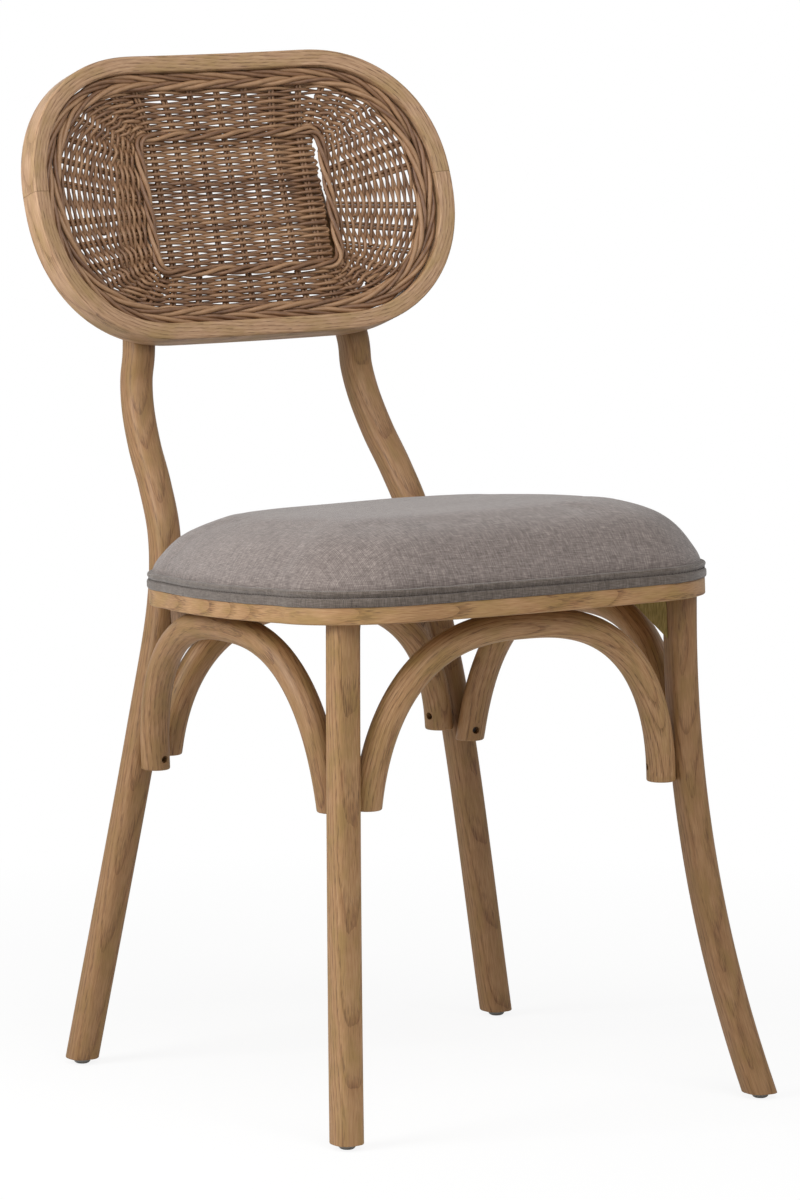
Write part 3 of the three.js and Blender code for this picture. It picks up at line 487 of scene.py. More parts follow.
def roundedRectangle(width, height, radius, power=2):
    across, along = width / 2 - radius, height / 2 - radius
    half = [Vector((0.0, -height / 2))] + arcPoints((across, -along), radius, power, -pi / 2, 0)
    half += arcPoints((across, along), radius, power, 0, pi / 2) + [Vector((0.0, height / 2))]
    return evenLoop(half)


def inwardAt(loop, i):
    return sideways(loop[i - 1], loop[(i + 1) % len(loop)])


def insetLoop(loop, inset):
    return [point + inwardAt(loop, i) * inset for i, point in enumerate(loop)]


seatLoop = seatOutline()
panelLoop = roundedRectangle(panel["width"], panel["height"], panel["corner"], panel["power"])


# Meshes

def newPiece(name, material, points, faces=(), edges=(), grain=None):
    mesh = bpy.data.meshes.new(name)
    mesh.from_pydata([toScene(p) for p in points], edges, faces)
    mesh.materials.append(material)
    if grain:
        layer = mesh.attributes.new("grain", "FLOAT_VECTOR", "POINT")
        layer.data.foreach_set("vector", [c * metre for g in grain for c in g])
    if faces:
        outward(mesh)
    return newObject(name, mesh)


def setValues(piece, label, values):
    piece.data.attributes.new(label, "FLOAT", "POINT").data.foreach_set("value", values)


def stainedAndShaded(piece, share):
    # Some of the wooden pieces took more stain than others; part of the share is painted shade on pieces
    # that stand far from the lamp or in the chair's own shadow
    setValues(piece, "stainAndShade", [share] * len(piece.data.vertices))
    return piece


def ready(piece, slot, *nodes):
    # Hands the finished piece to the frame, in place of the nodes
    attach(piece, "root")
    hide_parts(*nodes)


def outward(mesh):
    shape = bmesh.new()
    shape.from_mesh(mesh)
    bmesh.ops.recalc_face_normals(shape, faces=shape.faces)
    shape.to_mesh(mesh)
    shape.free()
    mesh.shade_smooth()
    mesh.set_sharp_from_angle(angle=sharpAngle)


def stitchLoops(loops, isCycle=False):
    # Quads between loops of equal counts; the ends are closed unless the loops form a cycle
    count = len(loops[0])
    points = [p for loop in loops for p in loop]
    faces = []
    for band in range(len(loops) if isCycle else len(loops) - 1):
        low, high = band * count, ((band + 1) % len(loops)) * count
        for i in range(count):
            after = (i + 1) % count
            faces.append((low + i, low + after, high + after, high + i))
    if not isCycle:
        faces.append(tuple(reversed(range(count))))
        faces.append(tuple(range((len(loops) - 1) * count, len(loops) * count)))
    return points, faces


def easedSection(width, depth, ease, steps=5):
    # A rectangle with rounded corners, as pairs of inset and rise
    corners = [(width - ease, ease, -90), (width - ease, depth - ease, 0), (ease, depth - ease, 90),
               (ease, ease, 180)]
    pairs = []
    for inset, rise, start in corners:
        for i in range(steps + 1):
            turn = radians(start + 90 * i / steps)
            pairs.append((inset + ease * cos(turn), rise + ease * sin(turn)))
    return pairs


def splineThrough(points, steps):
    # Evenly spaced points of a centripetal spline
    ends = [points[0] * 2 - points[1]] + points + [points[-1] * 2 - points[-2]]
    dense = []
    for p0, p1, p2, p3 in zip(ends, ends[1:], ends[2:], ends[3:]):
        d0, d1, d2 = ((b - a).length ** 0.5 for a, b in ((p0, p1), (p1, p2), (p2, p3)))
        t1 = ((p1 - p0) / d0 - (p2 - p0) / (d0 + d1) + (p2 - p1) / d1) * d1
        t2 = ((p2 - p1) / d1 - (p3 - p1) / (d1 + d2) + (p3 - p2) / d2) * d1
        for t in (i / arcSteps for i in range(arcSteps)):
            dense.append(p1 * (2 * t ** 3 - 3 * t ** 2 + 1) + t1 * (t ** 3 - 2 * t ** 2 + t)
                         + p2 * (3 * t ** 2 - 2 * t ** 3) + t2 * (t ** 3 - t ** 2))
    closed, reach = measured(dense + [points[-1]])
    return [pointAlong((closed, reach), reach[-2] * i / steps) for i in range(steps)] + [points[-1]]


# Where in the log a piece may be sawn from, measured from the heart
logSpans = ((28, 55), (-12, 12), (0, 4000))


def grainOffset():
    return Vector([random.uniform(*span) for span in logSpans])


rodShape = {"sides": 40, "clearShare": 0.35, "endTurns": (0, 30, 60, 90)}


def rodPiece(name, path, side, width, power, cutLow, cutHigh, rounding, cap=None):
    # A round rod along path. cutLow and cutHigh are the planes its ends lie on, each a point
    # and the direction into the rod; rounding softens the ends' edges, and what rises past
    # the plane cap is pressed flat on it.
    tangents = [(b - a).normalized() for a, b in zip([path[0]] + path[:-1], path[1:] + [path[-1]])]
    offset = grainOffset()
    loops, grain = [], []

    def ring(index, shrink, plane, along):
        centre, tangent = path[index], tangents[index]
        normal = (side - tangent * side.dot(tangent)).normalized()
        cross = tangent.cross(normal)
        loop = []
        for i in range(rodShape["sides"]):
            turn = tau * i / rodShape["sides"]
            across = roundPower(cos(turn), power) * (width / 2 - shrink)
            over = roundPower(sin(turn), power) * (width / 2 - shrink)
            point = centre + normal * across + cross * over
            if plane:
                point += tangent * ((plane[0] - point).dot(plane[1]) / tangent.dot(plane[1]))
            loop.append(point)
            grain.append(Vector((across, over, along)) + offset)
        loops.append(loop)

    def endRings(cut, index, along, turns):
        for degrees in turns:
            turn = radians(degrees)
            place = cut[0] + cut[1] * (rounding * (1 - sin(turn)))
            ring(index, rounding * (1 - cos(turn)), (place, cut[1]), along)

    clear = width * rodShape["clearShare"] + rounding
    kept = [i for i, p in enumerate(path)
            if (p - cutLow[0]).dot(cutLow[1]) > clear and (p - cutHigh[0]).dot(cutHigh[1]) > clear]
    endRings(cutLow, max(kept[0] - 1, 0), 0, rodShape["endTurns"][::-1])
    along = clear
    for index in kept:
        ring(index, 0, None, along)
        along += (path[min(index + 1, len(path) - 1)] - path[index]).length
    endRings(cutHigh, min(kept[-1] + 1, len(path) - 1), along + clear, rodShape["endTurns"])
    for point in (p for loop in loops for p in loop if cap):
        point -= cap[1] * max(0, (point - cap[0]).dot(cap[1]))
    return newPiece(name, ash, *stitchLoops(loops), grain=grain)


seamShare = 0.95  # how close to the seam the grain runs on


def bentRing(name, loop, section, toPlace, material, seam=0.5, wobble=None):
    # A band that follows a closed outline. Its grain starts and ends at a share of the way round,
    # as where such a ring is glued to itself.
    offset = grainOffset()
    outline = measured(loop)
    whole = outline[1][-1]
    places = [reach - whole * (reach > whole * seam) for reach in outline[1][:-1]]
    loops, grain = [], []
    for i, (point, along) in enumerate(zip(loop, places)):
        inward = inwardAt(loop, i)
        shape = wobble(section, i / len(loop)) if wobble else section
        loops.append([toPlace(point.x + inward.x * inset, point.y + inward.y * inset, rise)
                      for inset, rise in shape])
        grain.append([Vector((inset, rise, along)) + offset for inset, rise in section])
    last = next(i for i in range(len(loop)) if places[i] > places[(i + 1) % len(loop)])
    after = (last + 1) % len(loop)
    loops.insert(last + 1, [a.lerp(b, seamShare) for a, b in zip(loops[last], loops[after])])
    grain.insert(last + 1, [g + Vector((0, 0, whole / len(loop))) for g in grain[last]])
    grain = [g for ring in grain for g in ring]
    return newPiece(name, material, *stitchLoops(loops, True), grain=grain)


def cutPiece(piece, cutters):
    # Takes the cutters out of the piece and removes them
    for cutter in cutters:
        modify(piece, "BOOLEAN", operation="DIFFERENCE", solver="EXACT", object=cutter)
    bake(piece)
    piece.data.set_sharp_from_angle(angle=sharpAngle)
    for cutter in cutters:
        bpy.data.objects.remove(cutter)


def fromShape(name, shape):
    mesh = bpy.data.meshes.new(name)
    shape.to_mesh(mesh)
    shape.free()
    return newObject(name, mesh)


# Legs

floorCut = (up * legs["glide"], up)
seatUnder = seatPoint(0, 0, 0)
frontTop = seatPoint(legs["frontSpread"] / 2, -legs["frontReach"], 0)
rearTop = seatPoint(legs["rearSpread"] / 2, legs["rearReach"], 0)


def frontLegCentre(height):
    sweep = max(0.0, 1 - height / frontTop.z) ** legs["sweepPower"]
    return Vector((legs["frontSpread"] / 2 + (legs["frontFootSpread"] - legs["frontSpread"]) / 2 * sweep,
                   -legs["frontReach"] - (legs["frontFootReach"] - legs["frontReach"]) * sweep, height))


def rearLegPath():
    foot = Vector((legs["rearFootSpread"] / 2, legs["rearFootReach"], 0))
    knee = foot.lerp(rearTop, legs["kneeHeight"] / rearTop.z)
    knee = Vector((knee.x + legs["kneeBow"], legs["kneeReach"], knee.z))
    depth = panel["frameDepth"] + legs["width"] / 2 - legs["lap"]
    low = panelPoint(legs["postLowSpread"] / 2, -panel["height"] / 2, depth)
    high = panelPoint(legs["postHighSpread"] / 2, panel["height"] / 2 - legs["postInset"], depth)
    curve = [Vector((rearTop.x + (low.x - rearTop.x) * rise, rearTop.y + (low.y - rearTop.y) * setback,
                     rearTop.z + (low.z - rearTop.z) * rise)) for rise, setback in legs["curve"]]
    return splineThrough([foot, knee, rearTop] + curve + [low, low.lerp(high, 0.5), high], legs["rearSteps"])


def centreAt(path, height):
    for a, b in zip(path, path[1:]):
        if b.z >= height:
            return a.lerp(b, (height - a.z) / (b.z - a.z))


frontPath = [frontLegCentre(frontTop.z * i / legs["frontSteps"])
             for i in range(legs["frontSteps"] + 1)]
frontPath.append(frontTop + up * legs["frontOver"])
rearPath = rearLegPath()
postTop = (rearPath[-1], (rearPath[-2] - rearPath[-1]).normalized())
bothSides = (("right", lambda p: p), ("left", mirrorX))
for name, flip in bothSides:
    leg = rodPiece("frontLeg_" + name, [flip(p) for p in frontPath], forward, legs["drawnWidth"],
                   legs["power"], floorCut, (seatUnder, -seatUp), legs["frontEase"])
    ready(stainedAndShaded(leg, legs["stainAndShade"][name]), "wood", "front_leg_" + name)
    leg = rodPiece("rearLeg_" + name, [flip(p) for p in rearPath], forward, legs["drawnWidth"],
                   legs["power"], floorCut, [flip(v) for v in postTop], legs["rearEase"])
    ready(stainedAndShaded(leg, legs["rearStainAndShade"]), "wood", "rear_leg_" + name)
print("legs made")


# Arches

arches = {
    "width": 25, "drop": 157, "sideFrontDrop": 160, "sideRearDrop": 166, "springDrop": 36, "flat": 0.7,
    "lap": 0.5, "frontInset": 4.5, "rearInset": 8.5, "sideInset": 3.5, "sideSpread": 356, "power": 2.55,
    # How much darker each arch is drawn: partly real stain, partly painted shade, most on the left arch
    # where the lamp lights it
    "frontBow": 12, "rearBow": 9, "stainAndShade": {"front": 0.08, "rear": 0.2, "left": 0.3, "right": 0.2},
    "screwRise": 13, "sideScrewRise": 10, "holeWidth": 6.6, "holeDepth": 7, "seatGap": 0.3,
    "ease": 1.6, "curveSteps": 48, "steps": 130,
}
archStep = legs["width"] / 2 + arches["width"] / 2 - arches["lap"]


def limbBeside(leg, run, inset):
    return leg + run * sqrt(archStep ** 2 - inset.length_squared) + inset


def archPath(start, end, apex):
    # A superellipse that would spring some way below the limbs' ends
    under = seatUnder.z - (apex.y - seatUnder.y) * tan(radians(seat["tilt"]))
    top = under - arches["width"] / 2 + arches["flat"]
    middle = start.lerp(end, 0.5)
    power, drop = arches["power"], arches["springDrop"]
    height = top - middle.z + drop
    first = asin((drop / height) ** (power / 2))
    reach = cos(first) ** (2 / power)
    points = []
    for i in range(arches["curveSteps"] + 1):
        turn = first + (pi - 2 * first) * i / arches["curveSteps"]
        rise = height * sin(turn) ** (2 / power)
        base = start.lerp(end, (1 - roundPower(cos(turn), power) / reach) / 2)
        bow = (rise - drop) / (height - drop)
        points.append(Vector((base.x + (apex.x - middle.x) * bow, base.y + (apex.y - middle.y) * bow,
                              base.z - drop + rise)))
    return splineThrough(points, arches["steps"])


def holeCutter(limb, rise, leg):
    # A plain rod from outside the arch's limb in towards the leg
    start = limb + up * rise
    direction = (Vector((leg.x, leg.y, start.z)) - start).normalized()
    reach, radius = arches["width"] / 2, arches["holeWidth"] / 2 * metre
    length = (reach + arches["holeDepth"]) * metre
    middle = toScene(start - direction * reach * 2) + direction * (length / 2)
    shape = bmesh.new()
    bmesh.ops.create_cone(shape, cap_ends=True, segments=arcSteps, radius1=radius,
                          radius2=radius, depth=length)
    shape.transform(Matrix.Translation(middle) @ direction.to_track_quat("Z", "Y").to_matrix().to_4x4())
    return fromShape("cutter", shape)


def archPiece(name, start, end, apex, startLeg, endLeg, rise):
    side = up.cross(end - start).normalized()
    piece = rodPiece("arch_of_" + name, archPath(start, end, apex), side, arches["width"], 2,
                     (start, up), (end, up), arches["ease"],
                     (seatUnder - seatUp * arches["seatGap"], seatUp))
    cutPiece(piece, [holeCutter(start, rise, startLeg), holeCutter(end, rise, endLeg)])
    ready(stainedAndShaded(piece, arches["stainAndShade"][name]), "wood", "arch_" + name)


frontBeside = frontLegCentre(seat["height"] - arches["drop"])
rearBeside = centreAt(rearPath, seat["height"] - arches["drop"])
for name, leg, inset in (("front", frontBeside, arches["frontInset"]),
                         ("rear", rearBeside, -arches["rearInset"])):
    bow = arches[name + "Bow"]
    end = limbBeside(leg, Vector((-1, 0, 0)), Vector((0, inset, 0)))
    archPiece(name, mirrorX(end), end, Vector((0, end.y - bow, 0)), mirrorX(leg), leg,
              arches["screwRise"])
run = rearBeside - frontBeside
run = Vector((run.x, run.y, 0)).normalized()
inboard = Vector((-arches["sideInset"], 0, 0))
sideStart = limbBeside(frontBeside, run, inboard)
sideEnd = limbBeside(rearBeside, -run, inboard)
sideStart.z = seat["height"] - arches["sideFrontDrop"]
sideEnd.z = seat["height"] - arches["sideRearDrop"]
sideApex = Vector((arches["sideSpread"] / 2, (sideStart.y + sideEnd.y) / 2, 0))
for name, flip in bothSides:
    archPiece(name, flip(sideStart), flip(sideEnd), flip(sideApex), flip(frontBeside),
              flip(rearBeside), arches["sideScrewRise"])
print("arches made")


# Seat frame and back frame

seatSection = easedSection(seat["width"], seat["thickness"], seat["ease"])
ready(bentRing("seatRing", seatLoop, seatSection, seatPoint, ash), "wood", "seat_frame")


def backFrameHalf(name, isUpper):
    # Half of the back frame, sawn across at its two joints with a fine gap there
    section = easedSection(panel["frameWidth"], panel["frameDepth"], panel["ease"])
    piece = bentRing("backFrame_" + name, panelLoop, section, panelPoint, paleLitFrameAsh, 1 if isUpper else 0.5)
    shape = bmesh.new()
    shape.from_mesh(piece.data)
    joint = panelPlace @ Vector((0, panel["jointRise"] + panel["jointGap"] / (2 if isUpper else -2), 0))
    everything = list(shape.verts) + list(shape.edges) + list(shape.faces)
    cut = bmesh.ops.bisect_plane(shape, geom=everything, plane_co=toScene(joint), plane_no=panelUp,
                                 clear_inner=isUpper, clear_outer=not isUpper)
    rim = [e for e in cut["geom_cut"] if isinstance(e, bmesh.types.BMEdge)]
    bmesh.ops.holes_fill(shape, edges=rim, sides=0)
    shape.to_mesh(piece.data)
    shape.free()
    outward(piece.data)
    ready(piece, "wood", "back_frame_" + name)


backFrameHalf("upper", True)
backFrameHalf("lower", False)
print("frames made")


# Wicker back. The rods are drawn as lines first, and one geometry tree makes them round.

wicker = {
    "baseWidth": 178, "baseHeight": 116, "baseCorner": 7, "baseShift": (3, -4.5), "baseDepth": 16,
    "weaver": 3.15, "pitch": 2.83, "stake": 3.1, "stakeStep": 25, "stakePairs": 7, "pairShare": 0.52,
    "turnReach": 86.5, "lift": 2.9, "stepsPerStake": 10, "sides": 7, "spread": 0.12,
    "borderRod": 4.2, "borderSpin": 2.1, "borderLead": 85, "borderBands": (8.4, 7.2),
    "borderGap": 0.3, "borderDepth": 7.5, "borderPower": 2.18,
    "walingRod": 4.1, "walingSpin": 2.4, "walingTurns": 9, "walingOutset": 3.4, "walingDepth": 11.3,
    "wallWidth": 191, "wallHeight": 131, "wallCorner": 14, "wallInset": 27.5, "lipDepth": 11.5,
    "rowPairs": 16, "underlay": (17.5, 21.5, 25.5, 29.5), "underlayRod": 3.4, "underlayDepth": 13.5,
    "twistStep": 3, "twistWidth": 1.1, "twistDepth": 0.9,
    "stakeSteps": 10, "stakeOver": 0.05, "furthestStart": 40,
    # mm that rods wander, how fast this changes across and along, and a place in the noise
    "baseDrift": (0.5, 0.03, 0.4, 3), "stakeDrift": (0.4, 1, 0.3, 9), "wallDrift": (0.7, 0.8, 0.4, 17),
}


def rodTree():
    # Round rods along the drawn lines, each with its own width, tone and place along itself
    tree, add, given = newTree("wicker rods", [("Rod Sides", "Int"), ("Rod Material", "Material")])
    lines = add("MeshToCurve", [given["Geometry"]])
    width, start = (add("InputNamedAttribute", [name]) for name in ("rodWidth", "rodStart"))
    reach = add("SplineParameter").outputs["Length"]
    along = add("Math", [reach, start], "ADD")
    lines = add("StoreNamedAttribute", [lines, None, "rodAlong", along])
    circle = add("CurvePrimitiveCircle", {"Resolution": given["Rod Sides"], "Radius": 1.0})
    circle = add("StoreNamedAttribute", [circle, None, "rodRim", add("InputPosition")],
                 data_type="FLOAT_VECTOR")
    radius = add("Math", [width, 0.5], "MULTIPLY")
    rods = add("CurveToMesh", {
        "Curve": lines, "Profile Curve": circle, "Scale": radius, "Fill Caps": True})
    rim = add("InputNamedAttribute", ["rodRim"], data_type="FLOAT_VECTOR")
    rim = add("VectorMath", {"Vector": rim, "Scale": radius}, "SCALE")
    along = add("InputNamedAttribute", ["rodAlong"])
    place = add("VectorMath", [rim, add("CombineXYZ", {"Z": along})], "ADD")
    rods = add("StoreNamedAttribute", [rods, None, "rodPlace", place], data_type="FLOAT_VECTOR")
    for kind in ("SetShadeSmooth", "RealizeInstances"):
        rods = add(kind, [rods])
    rods = add("SetMaterial", {"Geometry": rods, "Material": given["Rod Material"]})
    add("GroupOutput", [rods])
    return tree


wickerTree = rodTree()


def rodsPiece(name, node, rods):
    # rods are points, width and whether the rod closes on itself
    points, edges, width, tone, start = [], [], [], [], []
    for path, rodWidth, isClosed in rods:
        first = len(points)
        points += path
        edges += [(first + i, first + i + 1) for i in range(len(path) - 1)]
        if isClosed:
            edges.append((len(points) - 1, first))
        width += [rodWidth * metre * (1 + random.uniform(-1, 1) * wicker["spread"])] * len(path)
        tone += [random.random()] * len(path)
        start += [random.uniform(0, wicker["furthestStart"])] * len(path)
    piece = newPiece(name, willow, points, edges=edges)
    for label, values in (("rodWidth", width), ("rodTone", tone), ("rodStart", start)):
        setValues(piece, label, values)
    runTree(piece, wickerTree, {"Rod Sides": wicker["sides"], "Rod Material": willow})
    for label in ("rodWidth", "rodStart", "rodAlong", "rodRim"):
        piece.data.attributes.remove(piece.data.attributes[label])
    ready(piece, "wicker", node)


def drift(key, across, along):
    # A small smooth wander
    amount, paceAcross, paceAlong, start = wicker[key]
    return noise.noise(Vector((across * paceAcross, along * paceAlong, start))) * amount


def basePoint(x, y, depth):
    # The woven base sits a little off the panel's middle
    return panelPoint(x + wicker["baseShift"][0], y + wicker["baseShift"][1], depth)


def baseRods():
    # Weavers that run to and fro over paired stakes and turn round past the last ones
    pitch, step, depth = wicker["pitch"], wicker["stakeStep"], wicker["baseDepth"]
    rods = []
    rows = int((wicker["baseHeight"] + 2 * wicker["walingOutset"]) / pitch)
    steps = int(2 * wicker["turnReach"] / step * wicker["stepsPerStake"])
    path, left = [], 0
    for row in range(rows):
        y = (row - (rows - 1) / 2) * pitch
        reach = wicker["turnReach"] * (1 if row % 2 == 0 else -1)
        for i in range(steps + 1):
            x = reach * (2 * i / steps - 1)
            lift = wicker["lift"] * cos(pi * (x / step + row))
            wander = drift("baseDrift", x, y)
            path.append(basePoint(x, y + wander, depth - lift))
        left -= 1
        if left < 0 or row == rows - 1:
            rods.append((path, wicker["weaver"], False))
            path, left = [], random.choice((1, 2, 3))
        else:
            path.append(basePoint(reach + copysign(pitch / 2, reach), y + pitch / 2, depth))
    reach = wicker["baseHeight"] / 2 + wicker["walingOutset"]
    half, parts = wicker["stakePairs"] // 2, wicker["stakeSteps"]
    for pair in range(-half, half + 1):
        for side in (-wicker["pairShare"], wicker["pairShare"]):
            x = pair * step + side * wicker["stake"]
            path = [basePoint(x + drift("stakeDrift", x, i), reach * (i / parts - 1), depth)
                    for i in range(2 * parts + 1)]
            rods.append((path, wicker["stake"], False))
    return rods


basketLoop = roundedRectangle(wicker["baseWidth"], wicker["baseHeight"], wicker["baseCorner"])
wallLoop = roundedRectangle(wicker["wallWidth"], wicker["wallHeight"], wicker["wallCorner"])
wallLoop = [p + Vector(wicker["baseShift"]) for p in wallLoop]


def twistedRods(loop, turns, spin, rod, depth, hand, place=panelPoint):
    # Three rods laid round one another along a closed outline, left-handed where hand is -1
    outline = measured(loop)
    whole = outline[1][-1]
    steps = int(whole / wicker["twistStep"])
    rods = []
    for strand in range(3):
        path = []
        for i in range(steps):
            here, ahead = (pointAlong(outline, whole * i / steps + more) for more in (0, 1))
            inward = sideways(here, ahead)
            angle = tau * (turns * i / steps + strand / 3) * hand
            here = here + inward * (spin * wicker["twistWidth"] * cos(angle))
            path.append(place(here.x, here.y, depth - spin * wicker["twistDepth"] * sin(angle)))
        rods.append((path, rod, True))
    return rods


def borderRods():
    # Two bands that twist opposite ways, so that together they look plaited, over a layer of
    # plain rods. They are wider at the sides than at the top and bottom.
    rods = []
    for band, hand in ((0.5, 1), (1.5, -1)):
        width, height = (panel[side] - 2 * (panel["frameWidth"] + wicker["borderGap"] + size * band)
                         for side, size in zip(("width", "height"), wicker["borderBands"]))
        corner = panel["corner"] + (height - panel["height"]) / 2
        loop = roundedRectangle(width, height, corner, wicker["borderPower"])
        turns = round(measured(loop)[1][-1] / wicker["borderLead"])
        rods += twistedRods(loop, turns, wicker["borderSpin"], wicker["borderRod"],
                            wicker["borderDepth"], hand)
    for inset in wicker["underlay"]:
        path = [panelPoint(p.x, p.y, wicker["underlayDepth"]) for p in insetLoop(panelLoop, inset)]
        rods.append((path, wicker["underlayRod"], True))
    return rods


# The wall's stakes in a quarter, from the top middle to the side middle: how far along the
# inner and the outer edge each one stands
wallStops = {
    "inner": [0, 25, 50, 75, 84.5, 94, 103.6, 113.2, 130.8, 148.4],
    "outer": [0, 28, 56, 84, 108.5, 133, 157.5, 182, 204, 226],
}
quarter = len(wallStops["inner"]) - 0.5
stakeCount = int(4 * quarter)


def fromTop(loop):
    # The outline measured from its top middle, clockwise
    top = len(loop) // 2
    turned = list(reversed(loop[:top])) + list(reversed(loop[top:]))
    return measured([(turned[0] + turned[-1]) / 2] + turned)


wallEdges = [(fromTop(wallLoop), wallStops["inner"]),
             (fromTop(insetLoop(panelLoop, wicker["wallInset"])), wallStops["outer"])]


def wallLine(place):
    # The wall's inner and outer point at a place counted in stakes from the top middle
    place %= stakeCount
    ends = []
    for outline, stops in wallEdges:
        whole = outline[1][-1]
        quarters = stops + [whole / 2 - stop for stop in reversed(stops)]
        around = quarters + [whole - stop for stop in reversed(quarters[1:-1])] + [whole]
        index = min(int(place), stakeCount - 1)
        span = around[index + 1] - around[index]
        ends.append(pointAlong(outline, around[index] + span * (place - index)))
    return ends


def wallDepth(share):
    return wicker["baseDepth"] + (wicker["lipDepth"] - wicker["baseDepth"]) * share


# Rows of the wall come and go in pairs where it widens and narrows, spread by the golden section
pairOrder = sorted(range(wicker["rowPairs"]), key=lambda pair: pair * 0.618 % 1)


def rowShares(width):
    # How far out each row lies where the wall has this width, or None where there is no room for it
    room = width / wicker["pitch"] / 2
    weights = [min(1, max(0, room - pairOrder.index(row // 2))) for row in range(2 * wicker["rowPairs"])]
    shares, reach = [], 0.0
    for weight in weights:
        reach += weight
        shares.append((reach - weight / 2) / sum(weights) if weight > 0.5 else None)
    return shares


def wallRods():
    rods = []
    steps = wicker["stepsPerStake"]
    bottom = stakeCount // 2
    places = [(bottom + i / steps, *wallLine(bottom + i / steps)) for i in range(stakeCount * steps)]
    shares = [rowShares((outer - inner).length) for place, inner, outer in places]
    for row in range(2 * wicker["rowPairs"]):
        path = []
        for (place, inner, outer), rowsHere in zip(places, shares):
            share = rowsHere[row]
            if share is None:
                if len(path) > steps:
                    rods.append((path, wicker["weaver"], False))
                path = []
                continue
            wander = drift("wallDrift", place, row)
            point = inner.lerp(outer, share + wander / (outer - inner).length)
            lift = wicker["lift"] * cos(pi * (place + row))
            path.append(panelPoint(point.x, point.y, wallDepth(share) - lift))
        if len(path) > steps:
            rods.append((path, wicker["weaver"], len(path) == len(places)))
    for stake in range(stakeCount):
        inner, outer = wallLine(stake)
        side = sideways(inner, outer) * wicker["stake"] * wicker["pairShare"]
        for offset in (-side, side):
            path = []
            for i in range(wicker["stakeSteps"] + 2):
                share = i / wicker["stakeSteps"] - wicker["stakeOver"]
                point = inner.lerp(outer, share) + offset
                path.append(panelPoint(point.x, point.y, wallDepth(share)))
            rods.append((path, wicker["stake"], False))
    return rods


rodsPiece("wickerBase", "wicker_base", baseRods())
rodsPiece("wickerWaling", "wicker_waling", twistedRods(
    insetLoop(basketLoop, -wicker["walingOutset"]), wicker["walingTurns"], wicker["walingSpin"],
    wicker["walingRod"], wicker["walingDepth"], -1, basePoint))
rodsPiece("wickerWall", "wicker_wall", wallRods())
rodsPiece("wickerBorder", "wicker_border", borderRods())
print("wicker made")


# Cushion

cushion = {
    "boardRise": 15.3, "weltHeight": 13, "inset": 1.6, "crown": 51.5,
    "edgePower": 9.2, "roundPower": 0.84, "frontShare": 0.1, "sideShare": 0.045, "bottomRise": 18,
    "loops": 41, "loopPower": 1.2, "slack": 1.5, "voxel": 5, "heldRise": 12, "pressure": 4,
    "quality": 6, "cap": 2.6, "frames": 16, "easing": 8,
}
weltTop = cushion["boardRise"] + cushion["weltHeight"]


def crownLoops():
    # The pad's outline at its flat underside, then ever smaller up to the middle of the crown
    slack = cushion["slack"]
    middle = Vector((0, (seat["rearReach"] - seat["frontReach"]) / 2))
    outline = insetLoop(seatLoop, cushion["inset"] + slack / 3)
    loops = [[seatPoint(p.x, p.y, cushion["bottomRise"]) for p in outline]]
    for i in range(cushion["loops"]):
        reach = cos(pi / 2 * (i / cushion["loops"]) ** cushion["loopPower"])
        rise = (cushion["crown"] - slack) * (1 - reach ** cushion["edgePower"]) ** cushion["roundPower"]
        places = [middle.lerp(point, reach) for point in outline]
        loops.append([])
        for p in places:
            fullness = 1 - cushion["frontShare"] * p.y / seat["frontReach"]
            fullness += cushion["sideShare"] * p.x / seat["frontReach"]
            loops[-1].append(seatPoint(p.x, p.y, weltTop + rise * fullness))
    return loops


def inflate(piece):
    # Remeshes the pad evenly, then lets air pressure fill the cloth out while its base is held
    modify(piece, "REMESH", mode="VOXEL", voxel_size=cushion["voxel"] * metre)
    bake(piece)
    base = toScene(seatPoint(0, 0, weltTop))
    held = piece.vertex_groups.new(name="held")
    for vertex in piece.data.vertices:
        rise = (vertex.co - base).dot(seatUp) / metre
        held.add([vertex.index], min(1, max(0, 1 - rise / cushion["heldRise"])), "REPLACE")
    cloth = modify(piece, "CLOTH")
    setAll(cloth.settings, quality=cushion["quality"], vertex_group_mass="held", use_pressure=True,
           uniform_pressure_force=cushion["pressure"])
    cloth.settings.effector_weights.gravity = 0
    cloth.point_cache.frame_start, cloth.point_cache.frame_end = 1, cushion["frames"]
    for step in range(1, cushion["frames"] + 1):
        bpy.context.scene.frame_set(step)
    graph = bpy.context.evaluated_depsgraph_get()
    filled = [v.co.copy() for v in piece.evaluated_get(graph).data.vertices]
    piece.modifiers.clear()
    bpy.context.scene.frame_set(1)
    limit, furthest = cushion["cap"] * metre, 0.0
    for vertex, end in zip(piece.data.vertices, filled):
        step = end - vertex.co
        furthest = max(furthest, step.length)
        vertex.co += step.normalized() * limit * tanh(step.length / limit)
    print("cushion filled out by", round(furthest / metre, 1), "mm at most, kept within the limit")
    modify(piece, "SMOOTH", iterations=cushion["easing"])
    modify(piece, "SUBSURF", levels=1, render_levels=1)
    bake(piece)
    piece.data.shade_smooth()


cover = newPiece("cushionCover", linen, *stitchLoops(crownLoops()))
inflate(cover)
ready(cover, "upholstery", "seat_cover", "seat_foam")
print("cushion made")


# Welt round the cushion: a narrow roll, a stitched groove under it and a flat band below

welt = {
    "roll": 2.3, "rollInset": 1.2, "grooveRise": 22.9, "grooveInset": 0.4, "bandOut": 1.6,
    "bandTop": 22.2, "bandLow": 14.4, "bandEase": 2.2, "depth": 6, "rollArc": 130,
    "wobble": 0.35, "swellPace": 8, "shiftPace": 9,
    "stitchStep": 4.0, "stitchLength": 2.2, "stitchWidth": 0.9, "stitchOut": 0.3,
}


